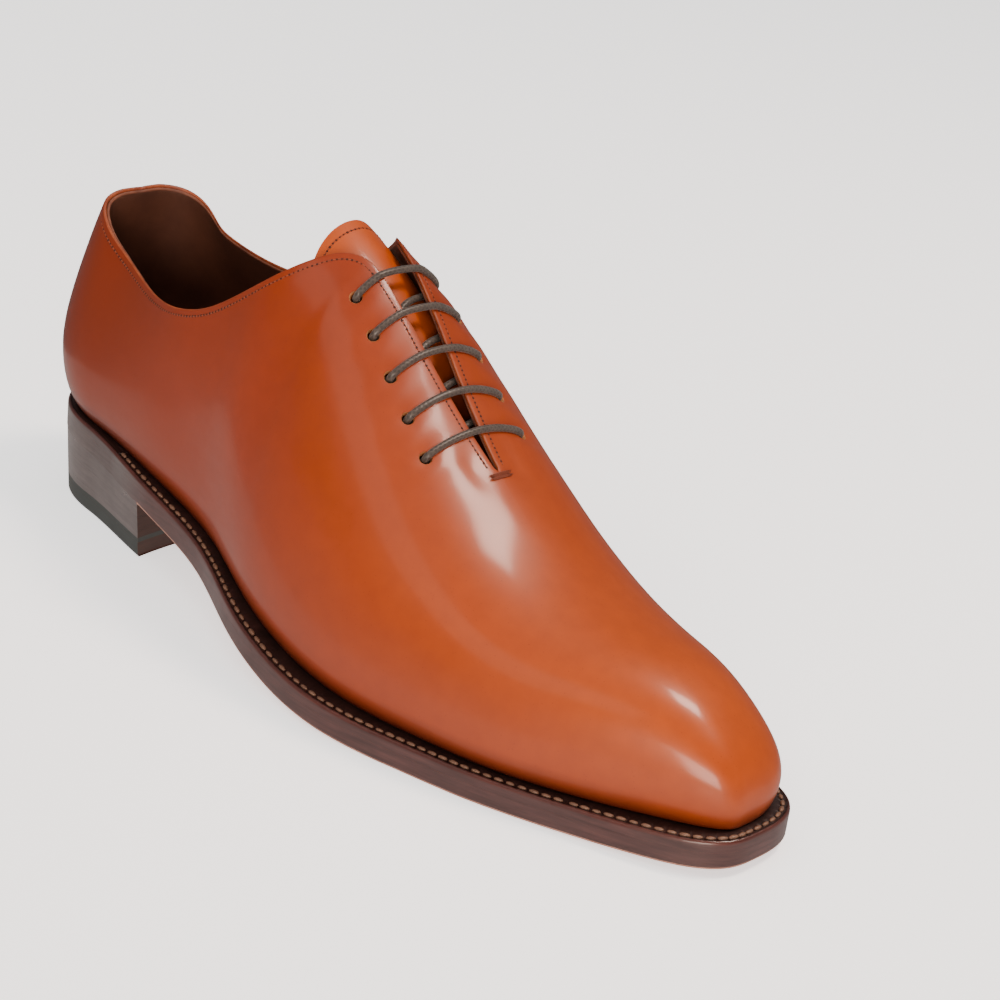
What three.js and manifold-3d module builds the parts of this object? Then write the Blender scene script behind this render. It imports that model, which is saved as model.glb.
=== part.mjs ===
// Right cut oxford shoe, size 42, standing on its heel and forefoot.
// Millimetres. Along the shoe x runs from the heel to the toe, y to the medial side, z up.
import * as THREE from "three";
import Module from "manifold-3d";

// Driving dimensions
const LENGTH = 302;
const BALL_WIDTH = 101;
const HEEL_HEIGHT = 24;
const TOE_SPRING = 2.9;
const INSTEP_HEIGHT = 125;
const GAP = 0.3;

const OUTSOLE_THICK = 5.2;
const WELT_THICK = 3.3;
const EDGE_CHAMFER = 0.6;
const WALL = 2.0;
const HEEL_CAP_LONG = 32;
const TOE_CAP_LONG = 40;
const HEEL_CAP_POWER = 2.2;
const TOE_CAP_POWER = 2.75;
const FEATHER_BACK = 1.8;
const FEATHER_FRONT = 297;
const TOE_ARCH_LONG = 44;
const TOE_ARCH_POWER = 2.2;
const TOE_PUFF = 2.0;
const TOE_PUFF_LONG = 30;
const TOE_PUFF_HIGH = 26;

const HEEL_BREAST = 68;
const BREAST_CURVE = 2.2;
const TOP_PIECE_THICK = 4.8;
const RUBBER_LIFT_THICK = 3.6;
const TIP_LONG = 13;
const NOTCH_LONG = 5;
const NOTCH_WIDE = 10;
const WELT_END_STATION = 2;
const INSOLE_RISE = 2.4;

const VAMP_POINT = 191.6;
const FACING_TOP = 141;
const CORNER_BLEND = 0.036;
const FACING_HALF_GAP = 6.8;
const THROAT_HALF_GAP = 0.9;
const EYELET_RADIUS = 1.9;
const EYELET_ROWS = 5;
const EYELET_FIRST = 181;
const EYELET_LAST = 141.5;
const EYELET_OUT_FIRST = 18.8;
const EYELET_OUT_LAST = 15.8;
const LACE_RADIUS = 1.2;
const LACE_BEND = 1.6;
const TONGUE_THICK = 1.8;
const TONGUE_DEEP = 5.9;
const TONGUE_TOP = 119;
const TONGUE_BASE = 143;
const TONGUE_RISE = 0.92;
const TONGUE_BEND = 0.0095;
const TONGUE_DRAW_IN = { lateral: 0.003, medial: 0.0105 };
const TONGUE_END = 206;
const TONGUE_HALF = 20;
const TONGUE_HALF_END = 15;
const TONGUE_ROUND = 9;
const TONGUE_CORNER_POWER = 3;

// Outline of the sole: centre line and half widths, as shares of half the ball width
const PLAN = [
  { along: 0.000, centre: 0.050, lateral: 0.632, medial: 0.618 },
  { along: 0.116, centre: 0.044, lateral: 0.610, medial: 0.651 },
  { along: 0.232, centre: 0.024, lateral: 0.681, medial: 0.529 },
  { along: 0.348, centre: 0.006, lateral: 0.731, medial: 0.422 },
  { along: 0.447, centre: 0.000, lateral: 0.911, medial: 0.673 },
  { along: 0.530, centre: 0.000, lateral: 1.002, medial: 0.921 },
  { along: 0.613, centre: 0.000, lateral: 1.002, medial: 0.982 },
  { along: 0.695, centre: 0.000, lateral: 0.883, medial: 0.939 },
  { along: 0.778, centre: 0.001, lateral: 0.737, medial: 0.850 },
  { along: 0.861, centre: 0.018, lateral: 0.554, medial: 0.733 },
  { along: 0.934, centre: 0.057, lateral: 0.428, medial: 0.640 },
  { along: 1.000, centre: 0.112, lateral: 0.393, medial: 0.634 },
];

// Underside of the outsole: shares of the heel height and of the toe spring
const PROFILE = [
  { along: 0.000, heel: 1.000, toe: 0.00 },
  { along: 0.232, heel: 0.768, toe: 0.00 },
  { along: 0.348, heel: 0.530, toe: 0.00 },
  { along: 0.447, heel: 0.320, toe: 0.00 },
  { along: 0.530, heel: 0.135, toe: 0.00 },
  { along: 0.613, heel: 0.040, toe: 0.00 },
  { along: 0.680, heel: 0.000, toe: 0.00 },
  { along: 0.762, heel: 0.000, toe: 0.00 },
  { along: 0.861, heel: 0.000, toe: 0.16 },
  { along: 1.000, heel: 0.000, toe: 1.00 },
];

// Width of the ledge from the sole's edge to the foot of the upper
const LEDGE = [
  { along: 0.000, lateral: 2.6, medial: 2.8 },
  { along: 0.106, lateral: 2.8, medial: 2.6 },
  { along: 0.232, lateral: 5.4, medial: 2.2 },
  { along: 0.348, lateral: 5.8, medial: 1.6 },
  { along: 0.447, lateral: 6.5, medial: 2.6 },
  { along: 0.600, lateral: 7.4, medial: 4.5 },
  { along: 0.800, lateral: 5.6, medial: 5.0 },
  { along: 1.000, lateral: 10.4, medial: 3.6 },
];

// Height at which each section closes, as a share of the instep height, and where its ridge lies.
// Reach is the share of the way to the ridge that the section leans in, lean its end slope in degrees.
const RIDGE = [
  { along: 0.00, top: 1.000, ridge: 2.5, reach: 0.55, lean: 80 },
  { along: 0.11, top: 1.000, ridge: 2.2, reach: 0.95, lean: 80 },
  { along: 0.25, top: 1.024, ridge: 1.0, reach: 0.50, lean: 68 },
  { along: 0.35, top: 1.050, ridge: 1.4, reach: 0.80, lean: 38 },
  { along: 0.45, top: 0.978, ridge: 2.1, reach: 1.00, lean: 0 },
  { along: 0.55, top: 0.761, ridge: 2.5, reach: 1.00, lean: 0 },
  { along: 0.64, top: 0.578, ridge: 2.6, reach: 1.00, lean: 0 },
  { along: 0.72, top: 0.457, ridge: 3.0, reach: 1.00, lean: 0 },
  { along: 0.80, top: 0.397, ridge: 3.5, reach: 1.00, lean: 0 },
  { along: 0.88, top: 0.373, ridge: 4.5, reach: 1.00, lean: 0 },
  { along: 1.00, top: 0.359, ridge: 5.0, reach: 1.00, lean: 0 },
];

// Swell of the wall over its foot (out and up), and the fullness of the section's two arcs
const SIDES = {
  lateral: [
    { along: 0.00, out: 5.8, up: 20.4, low: 0.32, high: 0.10 },
    { along: 0.11, out: 5.1, up: 20.4, low: 0.34, high: 0.18 },
    { along: 0.25, out: 3.8, up: 19.4, low: 0.38, high: 0.38 },
    { along: 0.35, out: 3.4, up: 16.5, low: 0.37, high: 0.42 },
    { along: 0.45, out: 3.1, up: 14.7, low: 0.34, high: 0.60 },
    { along: 0.55, out: 3.0, up: 12.7, low: 0.37, high: 0.66 },
    { along: 0.64, out: 3.0, up: 11.7, low: 0.46, high: 0.69 },
    { along: 0.72, out: 3.0, up: 10.7, low: 0.55, high: 0.68 },
    { along: 0.80, out: 2.8, up: 9.7, low: 0.60, high: 0.66 },
    { along: 0.88, out: 2.5, up: 9.7, low: 0.62, high: 0.64 },
    { along: 1.00, out: 2.0, up: 8.7, low: 0.66, high: 0.61 },
  ],
  medial: [
    { along: 0.00, out: 4.0, up: 20.4, low: 0.32, high: 0.10 },
    { along: 0.11, out: 3.8, up: 20.4, low: 0.34, high: 0.18 },
    { along: 0.25, out: 3.6, up: 22.0, low: 0.38, high: 0.38 },
    { along: 0.35, out: 4.7, up: 21.0, low: 0.38, high: 0.46 },
    { along: 0.45, out: 5.2, up: 19.0, low: 0.36, high: 0.66 },
    { along: 0.55, out: 4.8, up: 16.0, low: 0.40, high: 0.68 },
    { along: 0.64, out: 4.3, up: 13.0, low: 0.48, high: 0.66 },
    { along: 0.72, out: 4.1, up: 12.0, low: 0.58, high: 0.62 },
    { along: 0.80, out: 4.0, up: 11.0, low: 0.61, high: 0.62 },
    { along: 0.88, out: 3.2, up: 10.0, low: 0.64, high: 0.62 },
    { along: 1.00, out: 3.0, up: 9.0, low: 0.66, high: 0.60 },
  ],
};

// Height of the top line, as a share of the instep height
const TOPLINE = [
  { along: 0.010, lateral: 0.822, medial: 0.822 },
  { along: 0.035, lateral: 0.797, medial: 0.806 },
  { along: 0.070, lateral: 0.748, medial: 0.768 },
  { along: 0.120, lateral: 0.704, medial: 0.728 },
  { along: 0.160, lateral: 0.684, medial: 0.710 },
  { along: 0.210, lateral: 0.682, medial: 0.706 },
  { along: 0.260, lateral: 0.704, medial: 0.726 },
  { along: 0.295, lateral: 0.736, medial: 0.758 },
  { along: 0.325, lateral: 0.780, medial: 0.800 },
  { along: 0.355, lateral: 0.834, medial: 0.854 },
  { along: 0.385, lateral: 0.892, medial: 0.912 },
  { along: 0.412, lateral: 0.944, medial: 0.962 },
  { along: 0.440, lateral: 0.984, medial: 1.002 },
  { along: 0.470, lateral: 1.006, medial: 1.024 },
  { along: 0.550, lateral: 1.030, medial: 1.050 },
];

const clamp = (v, a, b) => Math.min(b, Math.max(a, v));
const mix = (a, b, t) => a + (b - a) * t;
const smooth = (t) => {
  const c = clamp(t, 0, 1);
  return c * c * (3 - 2 * c);
};
const sideName = (side) => (side < 0 ? "lateral" : "medial");

// Natural cubic through one column of a table, as a function of x
function curve(table, key) {
  const xs = table.map((row) => row.along * LENGTH);
  const ys = table.map((row) => row[key]);
  const n = xs.length;
  const m = new Array(n).fill(0);
  const c = new Array(n).fill(0);
  const d = new Array(n).fill(0);
  for (let i = 1; i < n - 1; i++) {
    const h0 = xs[i] - xs[i - 1];
    const h1 = xs[i + 1] - xs[i];
    const rhs = 6 * ((ys[i + 1] - ys[i]) / h1 - (ys[i] - ys[i - 1]) / h0);
    const div = 2 * (h0 + h1) - h0 * c[i - 1];
    c[i] = h1 / div;
    d[i] = (rhs - h0 * d[i - 1]) / div;
  }
  for (let i = n - 2; i > 0; i--) {
    m[i] = d[i] - c[i] * m[i + 1];
  }
  return (value) => {
    const x = clamp(value, xs[0], xs[n - 1]);
    let i = 0;
    while (i < n - 2 && x > xs[i + 1]) i++;
    const h = xs[i + 1] - xs[i];
    const a = (xs[i + 1] - x) / h;
    const b = (x - xs[i]) / h;
    const bend = ((a ** 3 - a) * m[i] + (b ** 3 - b) * m[i + 1]) * h * h / 6;
    return a * ys[i] + b * ys[i + 1] + bend;
  };
}

// Cubic that doesn't overshoot its rows
function steady(table, key) {
  const xs = table.map((row) => row.along * LENGTH);
  const ys = table.map((row) => row[key]);
  const n = xs.length;
  const slope = xs.slice(1).map((x, i) => (ys[i + 1] - ys[i]) / (x - xs[i]));
  const m = ys.map((_, i) => {
    if (i === 0 || i === n - 1 || slope[i - 1] * slope[i] <= 0) return 0;
    return 2 * slope[i - 1] * slope[i] / (slope[i - 1] + slope[i]);
  });
  return (value) => {
    const x = clamp(value, xs[0], xs[n - 1]);
    let i = 0;
    while (i < n - 2 && x > xs[i + 1]) i++;
    const h = xs[i + 1] - xs[i];
    const t = (x - xs[i]) / h;
    const rise = (3 - 2 * t) * t * t * (ys[i + 1] - ys[i]);
    return ys[i] + rise + h * t * (1 - t) * ((1 - t) * m[i] - t * m[i + 1]);
  };
}

const centreAt = curve(PLAN, "centre");
const heelShare = curve(PROFILE, "heel");
const toeShare = curve(PROFILE, "toe");
const topAt = curve(RIDGE, "top");
const ridgeAt = curve(RIDGE, "ridge");
const reachAt = steady(RIDGE, "reach");
const leanAt = steady(RIDGE, "lean");
const perSide = (make) => ({ lateral: make("lateral"), medial: make("medial") });
// Both sides share one value at the middle of the back
const sided = (pair, s, x, q) => {
  const mean = (pair.lateral(x) + pair.medial(x)) / 2;
  return mix(mean, pair[s](x), smooth(q));
};
const widthAt = perSide((s) => curve(PLAN, s));
const ledgeAt = perSide((s) => curve(LEDGE, s));
const toplineAt = perSide((s) => curve(TOPLINE, s));
const outAt = perSide((s) => curve(SIDES[s], "out"));
const upAt = perSide((s) => curve(SIDES[s], "up"));
const lowAt = perSide((s) => curve(SIDES[s], "low"));
const highAt = perSide((s) => curve(SIDES[s], "high"));

const centreY = (x) => centreAt(x) * BALL_WIDTH / 2;
const soleBottom = (x) => {
  return Math.max(0, heelShare(x) * HEEL_HEIGHT + toeShare(x) * TOE_SPRING);
};
const soleTop = (x) => soleBottom(x) + OUTSOLE_THICK;
const weltTop = (x) => soleTop(x) + GAP + WELT_THICK;
const footZ = (x) => weltTop(x) + GAP;

// A closed outline runs from q = 0 at the back, over 1 where the heel's curve ends, to 2 at the toe.
function outlinePoint(q, side, back, front, widthOf) {
  const s = sideName(side);
  const heelEnd = back + HEEL_CAP_LONG;
  const toeStart = front - TOE_CAP_LONG;
  const arc = TOE_CAP_LONG * 1.35;
  const span = toeStart - heelEnd;
  let x = 0;
  let cap = 1;
  if (q <= 1) {
    const angle = q * Math.PI / 2;
    x = back + HEEL_CAP_LONG * (1 - Math.cos(angle) ** (2 / HEEL_CAP_POWER));
    cap = Math.sin(angle) ** (2 / HEEL_CAP_POWER);
  } else {
    const run = (q - 1) * (span + arc);
    if (run <= span) {
      x = heelEnd + run;
    } else {
      const angle = clamp((run - span) / arc, 0, 1) * Math.PI / 2;
      x = toeStart + TOE_CAP_LONG * Math.sin(angle) ** (2 / TOE_CAP_POWER);
      cap = Math.max(0, Math.cos(angle)) ** (2 / TOE_CAP_POWER);
      if (angle > Math.PI / 2 - 1e-9) cap = 0;
    }
  }
  const y = centreY(x) + side * widthOf(x, s) * cap;
  return { x, y, cap };
}
const qOfX = (x, back, front) => {
  const span = front - TOE_CAP_LONG - back - HEEL_CAP_LONG;
  return 1 + (x - back - HEEL_CAP_LONG) / (span + TOE_CAP_LONG * 1.35);
};
const solePoint = (q, side, inset) => {
  const width = (x, s) => widthAt[s](x) * BALL_WIDTH / 2 - inset;
  return outlinePoint(q, side, inset, LENGTH - inset, width);
};
const featherPoint = (q, side, inset) => {
  const width = (x, s) => widthAt[s](x) * BALL_WIDTH / 2 - ledgeAt[s](x) - inset;
  return outlinePoint(q, side, FEATHER_BACK + inset, FEATHER_FRONT - inset, width);
};

// One rib of the upper: a function from t = 0 at its foot to t = 1 at its ridge
const UNDER = 0.22;
function rib(q, side, inset) {
  const s = sideName(side);
  const foot = featherPoint(q, side, inset);
  const x = foot.x;
  const fan = clamp(q, 0, 1) * Math.PI / 2;
  const dirX = q < 1 ? Math.cos(fan) : 0;
  const dirY = q < 1 ? -side * Math.sin(fan) : -side;
  const base = footZ(x);
  const front = FEATHER_FRONT - inset;
  const past = clamp((x - (front - TOE_ARCH_LONG)) / TOE_ARCH_LONG, 0, 1);
  const arch = Math.max(0, 1 - past ** TOE_ARCH_POWER) ** (1 / TOE_ARCH_POWER);
  const ridgeY = mix(ridgeAt(x), centreY(x), past * past);
  const rise = (topAt(x + 1) - topAt(x - 1)) * INSTEP_HEIGHT / 2;
  const sunk = inset * Math.sqrt(1 + rise * rise);
  const height = (topAt(x) * INSTEP_HEIGHT - sunk - base) * arch;
  const out = sided(outAt, s, x, q) * arch;
  const up = sided(upAt, s, x, q) * arch;
  const heelPart = (FEATHER_BACK + HEEL_CAP_LONG - x) * Math.cos(fan) ** 2;
  const across = Math.abs(foot.y - ridgeY);
  const full = q < 1 ? heelPart + across * Math.sin(fan) ** 2 : across;
  const reach = full * clamp(reachAt(x), 0, 1);
  const lean = clamp(leanAt(x), 0, 90) * Math.PI / 180;
  const handle = (reach + out) * Math.cos(lean) + (height - up) * Math.sin(lean);
  const back = sided(highAt, s, x, q) * handle;
  const puff = TOE_PUFF * smooth((x - front + TOE_PUFF_LONG) / TOE_PUFF_LONG);
  const p0 = [-out, up];
  const p1 = [-out, up + sided(lowAt, s, x, q) * (height - up)];
  const p2 = [reach - back * Math.cos(lean), height - back * Math.sin(lean)];
  const p3 = [reach, height];
  return (t) => {
    let d = 0;
    let h = 0;
    if (t < UNDER) {
      const u = t / UNDER;
      d = -out * Math.sin(u * Math.PI / 2);
      h = up * (0.5 * (1 - Math.cos(u * Math.PI / 2)) + 0.5 * u);
    } else {
      const u = (t - UNDER) / (1 - UNDER);
      const w = [(1 - u) ** 3, 3 * u * (1 - u) ** 2, 3 * u * u * (1 - u), u ** 3];
      d = w[0] * p0[0] + w[1] * p1[0] + w[2] * p2[0] + w[3] * p3[0];
      h = w[0] * p0[1] + w[1] * p1[1] + w[2] * p2[1] + w[3] * p3[1];
    }
    const push = puff * Math.sin(Math.PI * clamp(h / TOE_PUFF_HIGH, 0, 1));
    return [x + dirX * d + push, foot.y + dirY * d, base + h, ridgeY];
  };
}

// Parameter on a rib where a measure passes a value; the measure grows with t
function solve(at, measure, value) {
  let low = 0;
  let high = 1;
  if (measure(at(1)) < value) return 1.5;
  for (let i = 0; i < 30; i++) {
    const mid = (low + high) / 2;
    if (measure(at(mid)) < value) low = mid;
    else high = mid;
  }
  return (low + high) / 2;
}
const vampQ = qOfX(VAMP_POINT, FEATHER_BACK, FEATHER_FRONT);
const halfGap = (x) => {
  const share = clamp((x - FACING_TOP) / (VAMP_POINT - FACING_TOP), -0.6, 1);
  return mix(FACING_HALF_GAP, THROAT_HALF_GAP, share);
};
function ribEnd(q, side, inset) {
  const at = rib(q, side, inset);
  const x = at(0.5)[0];
  if (q >= vampQ - 1e-9) return 1;
  const foot = at(0)[0];
  const collar = sided(toplineAt, sideName(side), foot, q) * INSTEP_HEIGHT;
  const byHeight = solve(at, (p) => p[2], collar);
  if (q < 1.12) return Math.min(1, byHeight);
  const byGap = solve(at, (p) => -Math.abs(p[1] - p[3]), -halfGap(x));
  const k = CORNER_BLEND;
  const low = (byHeight + byGap - Math.sqrt((byHeight - byGap) ** 2 + k * k)) / 2;
  return Math.min(1, low + 0.006);
}

// Collects triangles, joins equal corners and drops empty faces
class Solid {
  constructor() {
    this.points = [];
    this.keys = new Map();
    this.faces = [];
  }
  corner(p) {
    const key = p.slice(0, 3).map((v) => Math.round(v * 2000)).join(",");
    if (!this.keys.has(key)) {
      this.keys.set(key, this.points.length);
      this.points.push([p[0], p[1], p[2]]);
    }
    return this.keys.get(key);
  }
  triangle(a, b, c) {
    const f = [this.corner(a), this.corner(b), this.corner(c)];
    if (f[0] !== f[1] && f[1] !== f[2] && f[2] !== f[0]) this.faces.push(f);
  }
  quad(a, b, c, d) {
    this.triangle(a, b, c);
    this.triangle(a, c, d);
  }
  grid(rows, turned) {
    for (let i = 0; i + 1 < rows.length; i++) {
      for (let j = 0; j + 1 < rows[i].length; j++) {
        const [a, b, c, d] = [rows[i][j], rows[i + 1][j], rows[i + 1][j + 1], rows[i][j + 1]];
        if (turned) this.quad(a, d, c, b);
        else this.quad(a, b, c, d);
      }
    }
  }
  geometry() {
    let volume = 0;
    for (const [a, b, c] of this.faces) {
      const [p, q, r] = [this.points[a], this.points[b], this.points[c]];
      volume += p[0] * (q[1] * r[2] - q[2] * r[1]);
      volume += p[1] * (q[2] * r[0] - q[0] * r[2]);
      volume += p[2] * (q[0] * r[1] - q[1] * r[0]);
    }
    const g = new THREE.BufferGeometry();
    g.setAttribute("position", new THREE.Float32BufferAttribute(this.points.flat(), 3));
    g.setIndex(this.faces.flatMap(([a, b, c]) => (volume > 0 ? [a, b, c] : [a, c, b])));
    return g;
  }
}

const wasm = await Module();
wasm.setup();
function toManifold(g) {
  const vertProperties = new Float32Array(g.getAttribute("position").array);
  const triVerts = new Uint32Array(g.getIndex().array);
  return new wasm.Manifold(new wasm.Mesh({ numProp: 3, vertProperties, triVerts }));
}
function fromManifold(m) {
  const mesh = m.getMesh();
  const g = new THREE.BufferGeometry();
  g.setAttribute("position", new THREE.Float32BufferAttribute(Array.from(mesh.vertProperties), 3));
  g.setIndex(Array.from(mesh.triVerts));
  return g;
}

// A flat layer of the bottom: stations from back to front, points across, and layers upwards
function layerGrid(stations, layer, across) {
  return stations.map((q) => {
    const left = layer.point(q, -1, layer.inset);
    const right = layer.point(q, 1, layer.inset);
    const row = [];
    for (let j = 0; j <= across; j++) {
      const v = j / across;
      let x = mix(left.x, right.x, v);
      let y = mix(left.y, right.y, v);
      if (layer.shape) [x, y] = layer.shape(x, y, v);
      row.push([x, y, layer.z(x)]);
    }
    return row;
  });
}
function slab(stations, layers, across = 2) {
  const body = new Solid();
  const grids = layers.map((layer) => layerGrid(stations, layer, across));
  body.grid(grids[0], true);
  body.grid(grids[grids.length - 1], false);
  for (let k = 0; k + 1 < grids.length; k++) {
    const [low, high] = [grids[k], grids[k + 1]];
    const n = low.length - 1;
    body.grid([low.map((r) => r[0]), high.map((r) => r[0])].reverse(), false);
    body.grid([low.map((r) => r[across]), high.map((r) => r[across])], false);
    body.grid([low[0], high[0]], false);
    body.grid([low[n], high[n]].reverse(), false);
  }
  return body.geometry();
}
const steps = (from, to, count) => {
  return Array.from({ length: count + 1 }, (_, i) => mix(from, to, i / count));
};
const toeQ = qOfX(LENGTH - TOE_CAP_LONG, 0, LENGTH);
const runQ = steps(1, toeQ, 24);
const capQ = steps(toeQ, 2, 12).slice(1);
const soleStations = [...steps(0, 1, 10), ...runQ.slice(1), ...capQ];

function outsole() {
  return slab(soleStations, [
    { point: solePoint, inset: EDGE_CHAMFER, z: soleBottom },
    { point: solePoint, inset: 0, z: (x) => soleBottom(x) + EDGE_CHAMFER },
    { point: solePoint, inset: 0, z: soleTop },
  ]);
}
function insole() {
  const room = WALL + 2 * GAP;
  return slab(soleStations, [
    { point: featherPoint, inset: room, z: (x) => soleTop(x) + GAP },
    { point: featherPoint, inset: room, z: (x) => footZ(x) + INSOLE_RISE },
  ]);
}

// Heel layers between two levels, from one station along the heel to another
function heelLayer(from, to, lowZ, highZ, options = {}) {
  const toQ = (x) => {
    if (x >= HEEL_CAP_LONG) return qOfX(x, 0, LENGTH);
    const c = 1 - x / HEEL_CAP_LONG;
    return Math.acos(c ** (HEEL_CAP_POWER / 2)) / (Math.PI / 2);
  };
  const marks = to > HEEL_CAP_LONG ? [to - NOTCH_LONG, to] : [to];
  const a = toQ(from);
  const list = to > HEEL_CAP_LONG ? steps(a, 1, 10) : steps(a, toQ(to), 6);
  const inner = to > HEEL_CAP_LONG ? steps(1, toQ(to - NOTCH_LONG), 3).slice(1) : [];
  const stations = [...list, ...inner, ...(to > HEEL_CAP_LONG ? [toQ(to)] : [])];
  const taper = (level) => 1.1 * (1 - clamp(level / HEEL_HEIGHT, 0, 1));
  const shape = (x, y, v) => {
    let px = x;
    let py = y;
    if (to > HEEL_CAP_LONG) {
      px -= BREAST_CURVE * (1 - (2 * v - 1) ** 2) * smooth((x - to + 14) / 14);
      const cut = options.notch ? NOTCH_WIDE * clamp((x - marks[0]) / NOTCH_LONG, 0, 1) : 0;
      py -= cut * v;
    }
    return [px, py];
  };
  const point = (q, side, inset) => solePoint(q, side, inset);
  return slab(stations, [
    { point, inset: taper(lowZ(30)), z: lowZ, shape },
    { point, inset: taper(highZ(30)), z: highZ, shape },
  ], 6);
}
const tipTop = () => TOP_PIECE_THICK;
const rubberLow = () => TOP_PIECE_THICK + GAP;
const rubberTop = () => TOP_PIECE_THICK + GAP + RUBBER_LIFT_THICK;
const stackLow = (x) => rubberTop(x) + GAP;
const stackTop = (x) => soleBottom(x) - GAP;
const stackMid = (x) => (stackLow(x) + stackTop(x)) / 2;

// The welt and the rand are one section carried round the edge between the sole and the upper
function edgeStrip(path) {
  const body = new Solid();
  const rows = path.map(([q, side]) => {
    const edge = solePoint(q, side, 0);
    const top = solePoint(q, side, EDGE_CHAMFER * 0.7);
    const inner = featherPoint(q, side, WALL + GAP);
    const low = (p) => soleTop(p.x) + GAP;
    const high = (p) => weltTop(p.x);
    return [
      [edge.x, edge.y, low(edge)],
      [edge.x, edge.y, high(edge) - EDGE_CHAMFER],
      [top.x, top.y, high(top)],
      [inner.x, inner.y, high(inner)],
      [inner.x, inner.y, low(inner)],
      [edge.x, edge.y, low(edge)],
    ];
  });
  body.grid(rows, false);
  const ends = [rows[0], rows[rows.length - 1]];
  ends.forEach((r, i) => {
    for (let j = 1; j + 2 < r.length; j++) {
      if (i === 0) body.triangle(r[0], r[j], r[j + 1]);
      else body.triangle(r[0], r[j + 1], r[j]);
    }
  });
  return body.geometry();
}
const seamQ = runQ[WELT_END_STATION];
const randQ = seamQ - 1.5 * GAP / (LENGTH - HEEL_CAP_LONG + 0.35 * TOE_CAP_LONG);
const frontQ = [...runQ.slice(WELT_END_STATION), ...capQ];
const backQ = [...steps(0, 1, 10), ...runQ.slice(1, WELT_END_STATION), randQ];
const there = (list, side) => list.map((q) => [q, side]);
const weltPath = [...there(frontQ, -1), ...there([...frontQ].reverse(), 1).slice(1)];
const randPath = [...there([...backQ].reverse(), -1), ...there(backQ, 1).slice(1)];

// The upper: outer and inner skins through the ribs, closed along the foot and the top line
const upperToeQ = qOfX(FEATHER_FRONT - TOE_CAP_LONG, FEATHER_BACK, FEATHER_FRONT);
const ribStations = [
  ...steps(0, 1, 8),
  ...steps(1, vampQ, 17).slice(1),
  ...steps(vampQ, upperToeQ, 7).slice(1),
  ...steps(upperToeQ, 2, 10).slice(1),
];
function ribPoints(q, side, inset) {
  const at = rib(q, side, inset);
  const end = ribEnd(q, side, inset);
  const ts = [0, 0.06, 0.13, UNDER, ...steps(UNDER, end, 8).slice(1)];
  return ts.map((t) => at(t).slice(0, 3));
}
function upper() {
  const body = new Solid();
  for (const side of [-1, 1]) {
    const outer = ribStations.map((q) => ribPoints(q, side, 0));
    const inner = ribStations.map((q) => ribPoints(q, side, WALL));
    const last = outer[0].length - 1;
    body.grid(outer, side > 0);
    body.grid(inner, side < 0);
    body.grid([outer.map((r) => r[0]), inner.map((r) => r[0])], side > 0);
    const open = ribStations.filter((q) => q <= vampQ + 1e-9).length;
    const rimOut = outer.slice(0, open).map((r) => r[last]);
    const rimIn = inner.slice(0, open).map((r) => r[last]);
    body.grid([rimOut, rimIn], side < 0);
  }
  let m = toManifold(body.geometry());
  for (const hole of eyelets()) {
    const pin = new THREE.CylinderGeometry(EYELET_RADIUS, EYELET_RADIUS, 12, 12);
    const turn = new THREE.Quaternion();
    turn.setFromUnitVectors(new THREE.Vector3(0, 1, 0), hole.out);
    pin.applyQuaternion(turn);
    pin.translate(hole.middle.x, hole.middle.y, hole.middle.z);
    m = m.subtract(toManifold(weld(pin)));
  }
  return fromManifold(m);
}
function weld(g) {
  const body = new Solid();
  const p = g.getAttribute("position");
  const read = (i) => [p.getX(i), p.getY(i), p.getZ(i)];
  const index = g.getIndex().array;
  for (let i = 0; i < index.length; i += 3) {
    body.triangle(read(index[i]), read(index[i + 1]), read(index[i + 2]));
  }
  return body.geometry();
}

// A point of the upper's surface at x and at a distance from the ridge, sunk by a depth
function onUpper(x, side, fromRidge, depth) {
  const q = qOfX(x, FEATHER_BACK + depth, FEATHER_FRONT - depth);
  const at = rib(q, side, depth);
  const t = solve(at, (p) => -Math.abs(p[1] - p[3]), -Math.max(fromRidge, 1e-4));
  return new THREE.Vector3(...at(Math.min(1, t)).slice(0, 3));
}
function eyelets() {
  const list = [];
  for (let i = 0; i < EYELET_ROWS; i++) {
    const share = i / (EYELET_ROWS - 1);
    const x = mix(EYELET_FIRST, EYELET_LAST, share);
    const away = mix(EYELET_OUT_FIRST, EYELET_OUT_LAST, share);
    for (const side of [-1, 1]) {
      const middle = onUpper(x, side, away, WALL / 2);
      const ahead = onUpper(x + 2, side, away, WALL / 2).sub(onUpper(x - 2, side, away, WALL / 2));
      const down = onUpper(x, side, away + 2, WALL / 2).sub(onUpper(x, side, away - 2, WALL / 2));
      const out = new THREE.Vector3().crossVectors(down, ahead).normalize();
      if (out.z < 0) out.negate();
      list.push({ row: i, side, x, away, middle, out });
    }
  }
  return list;
}

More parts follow.
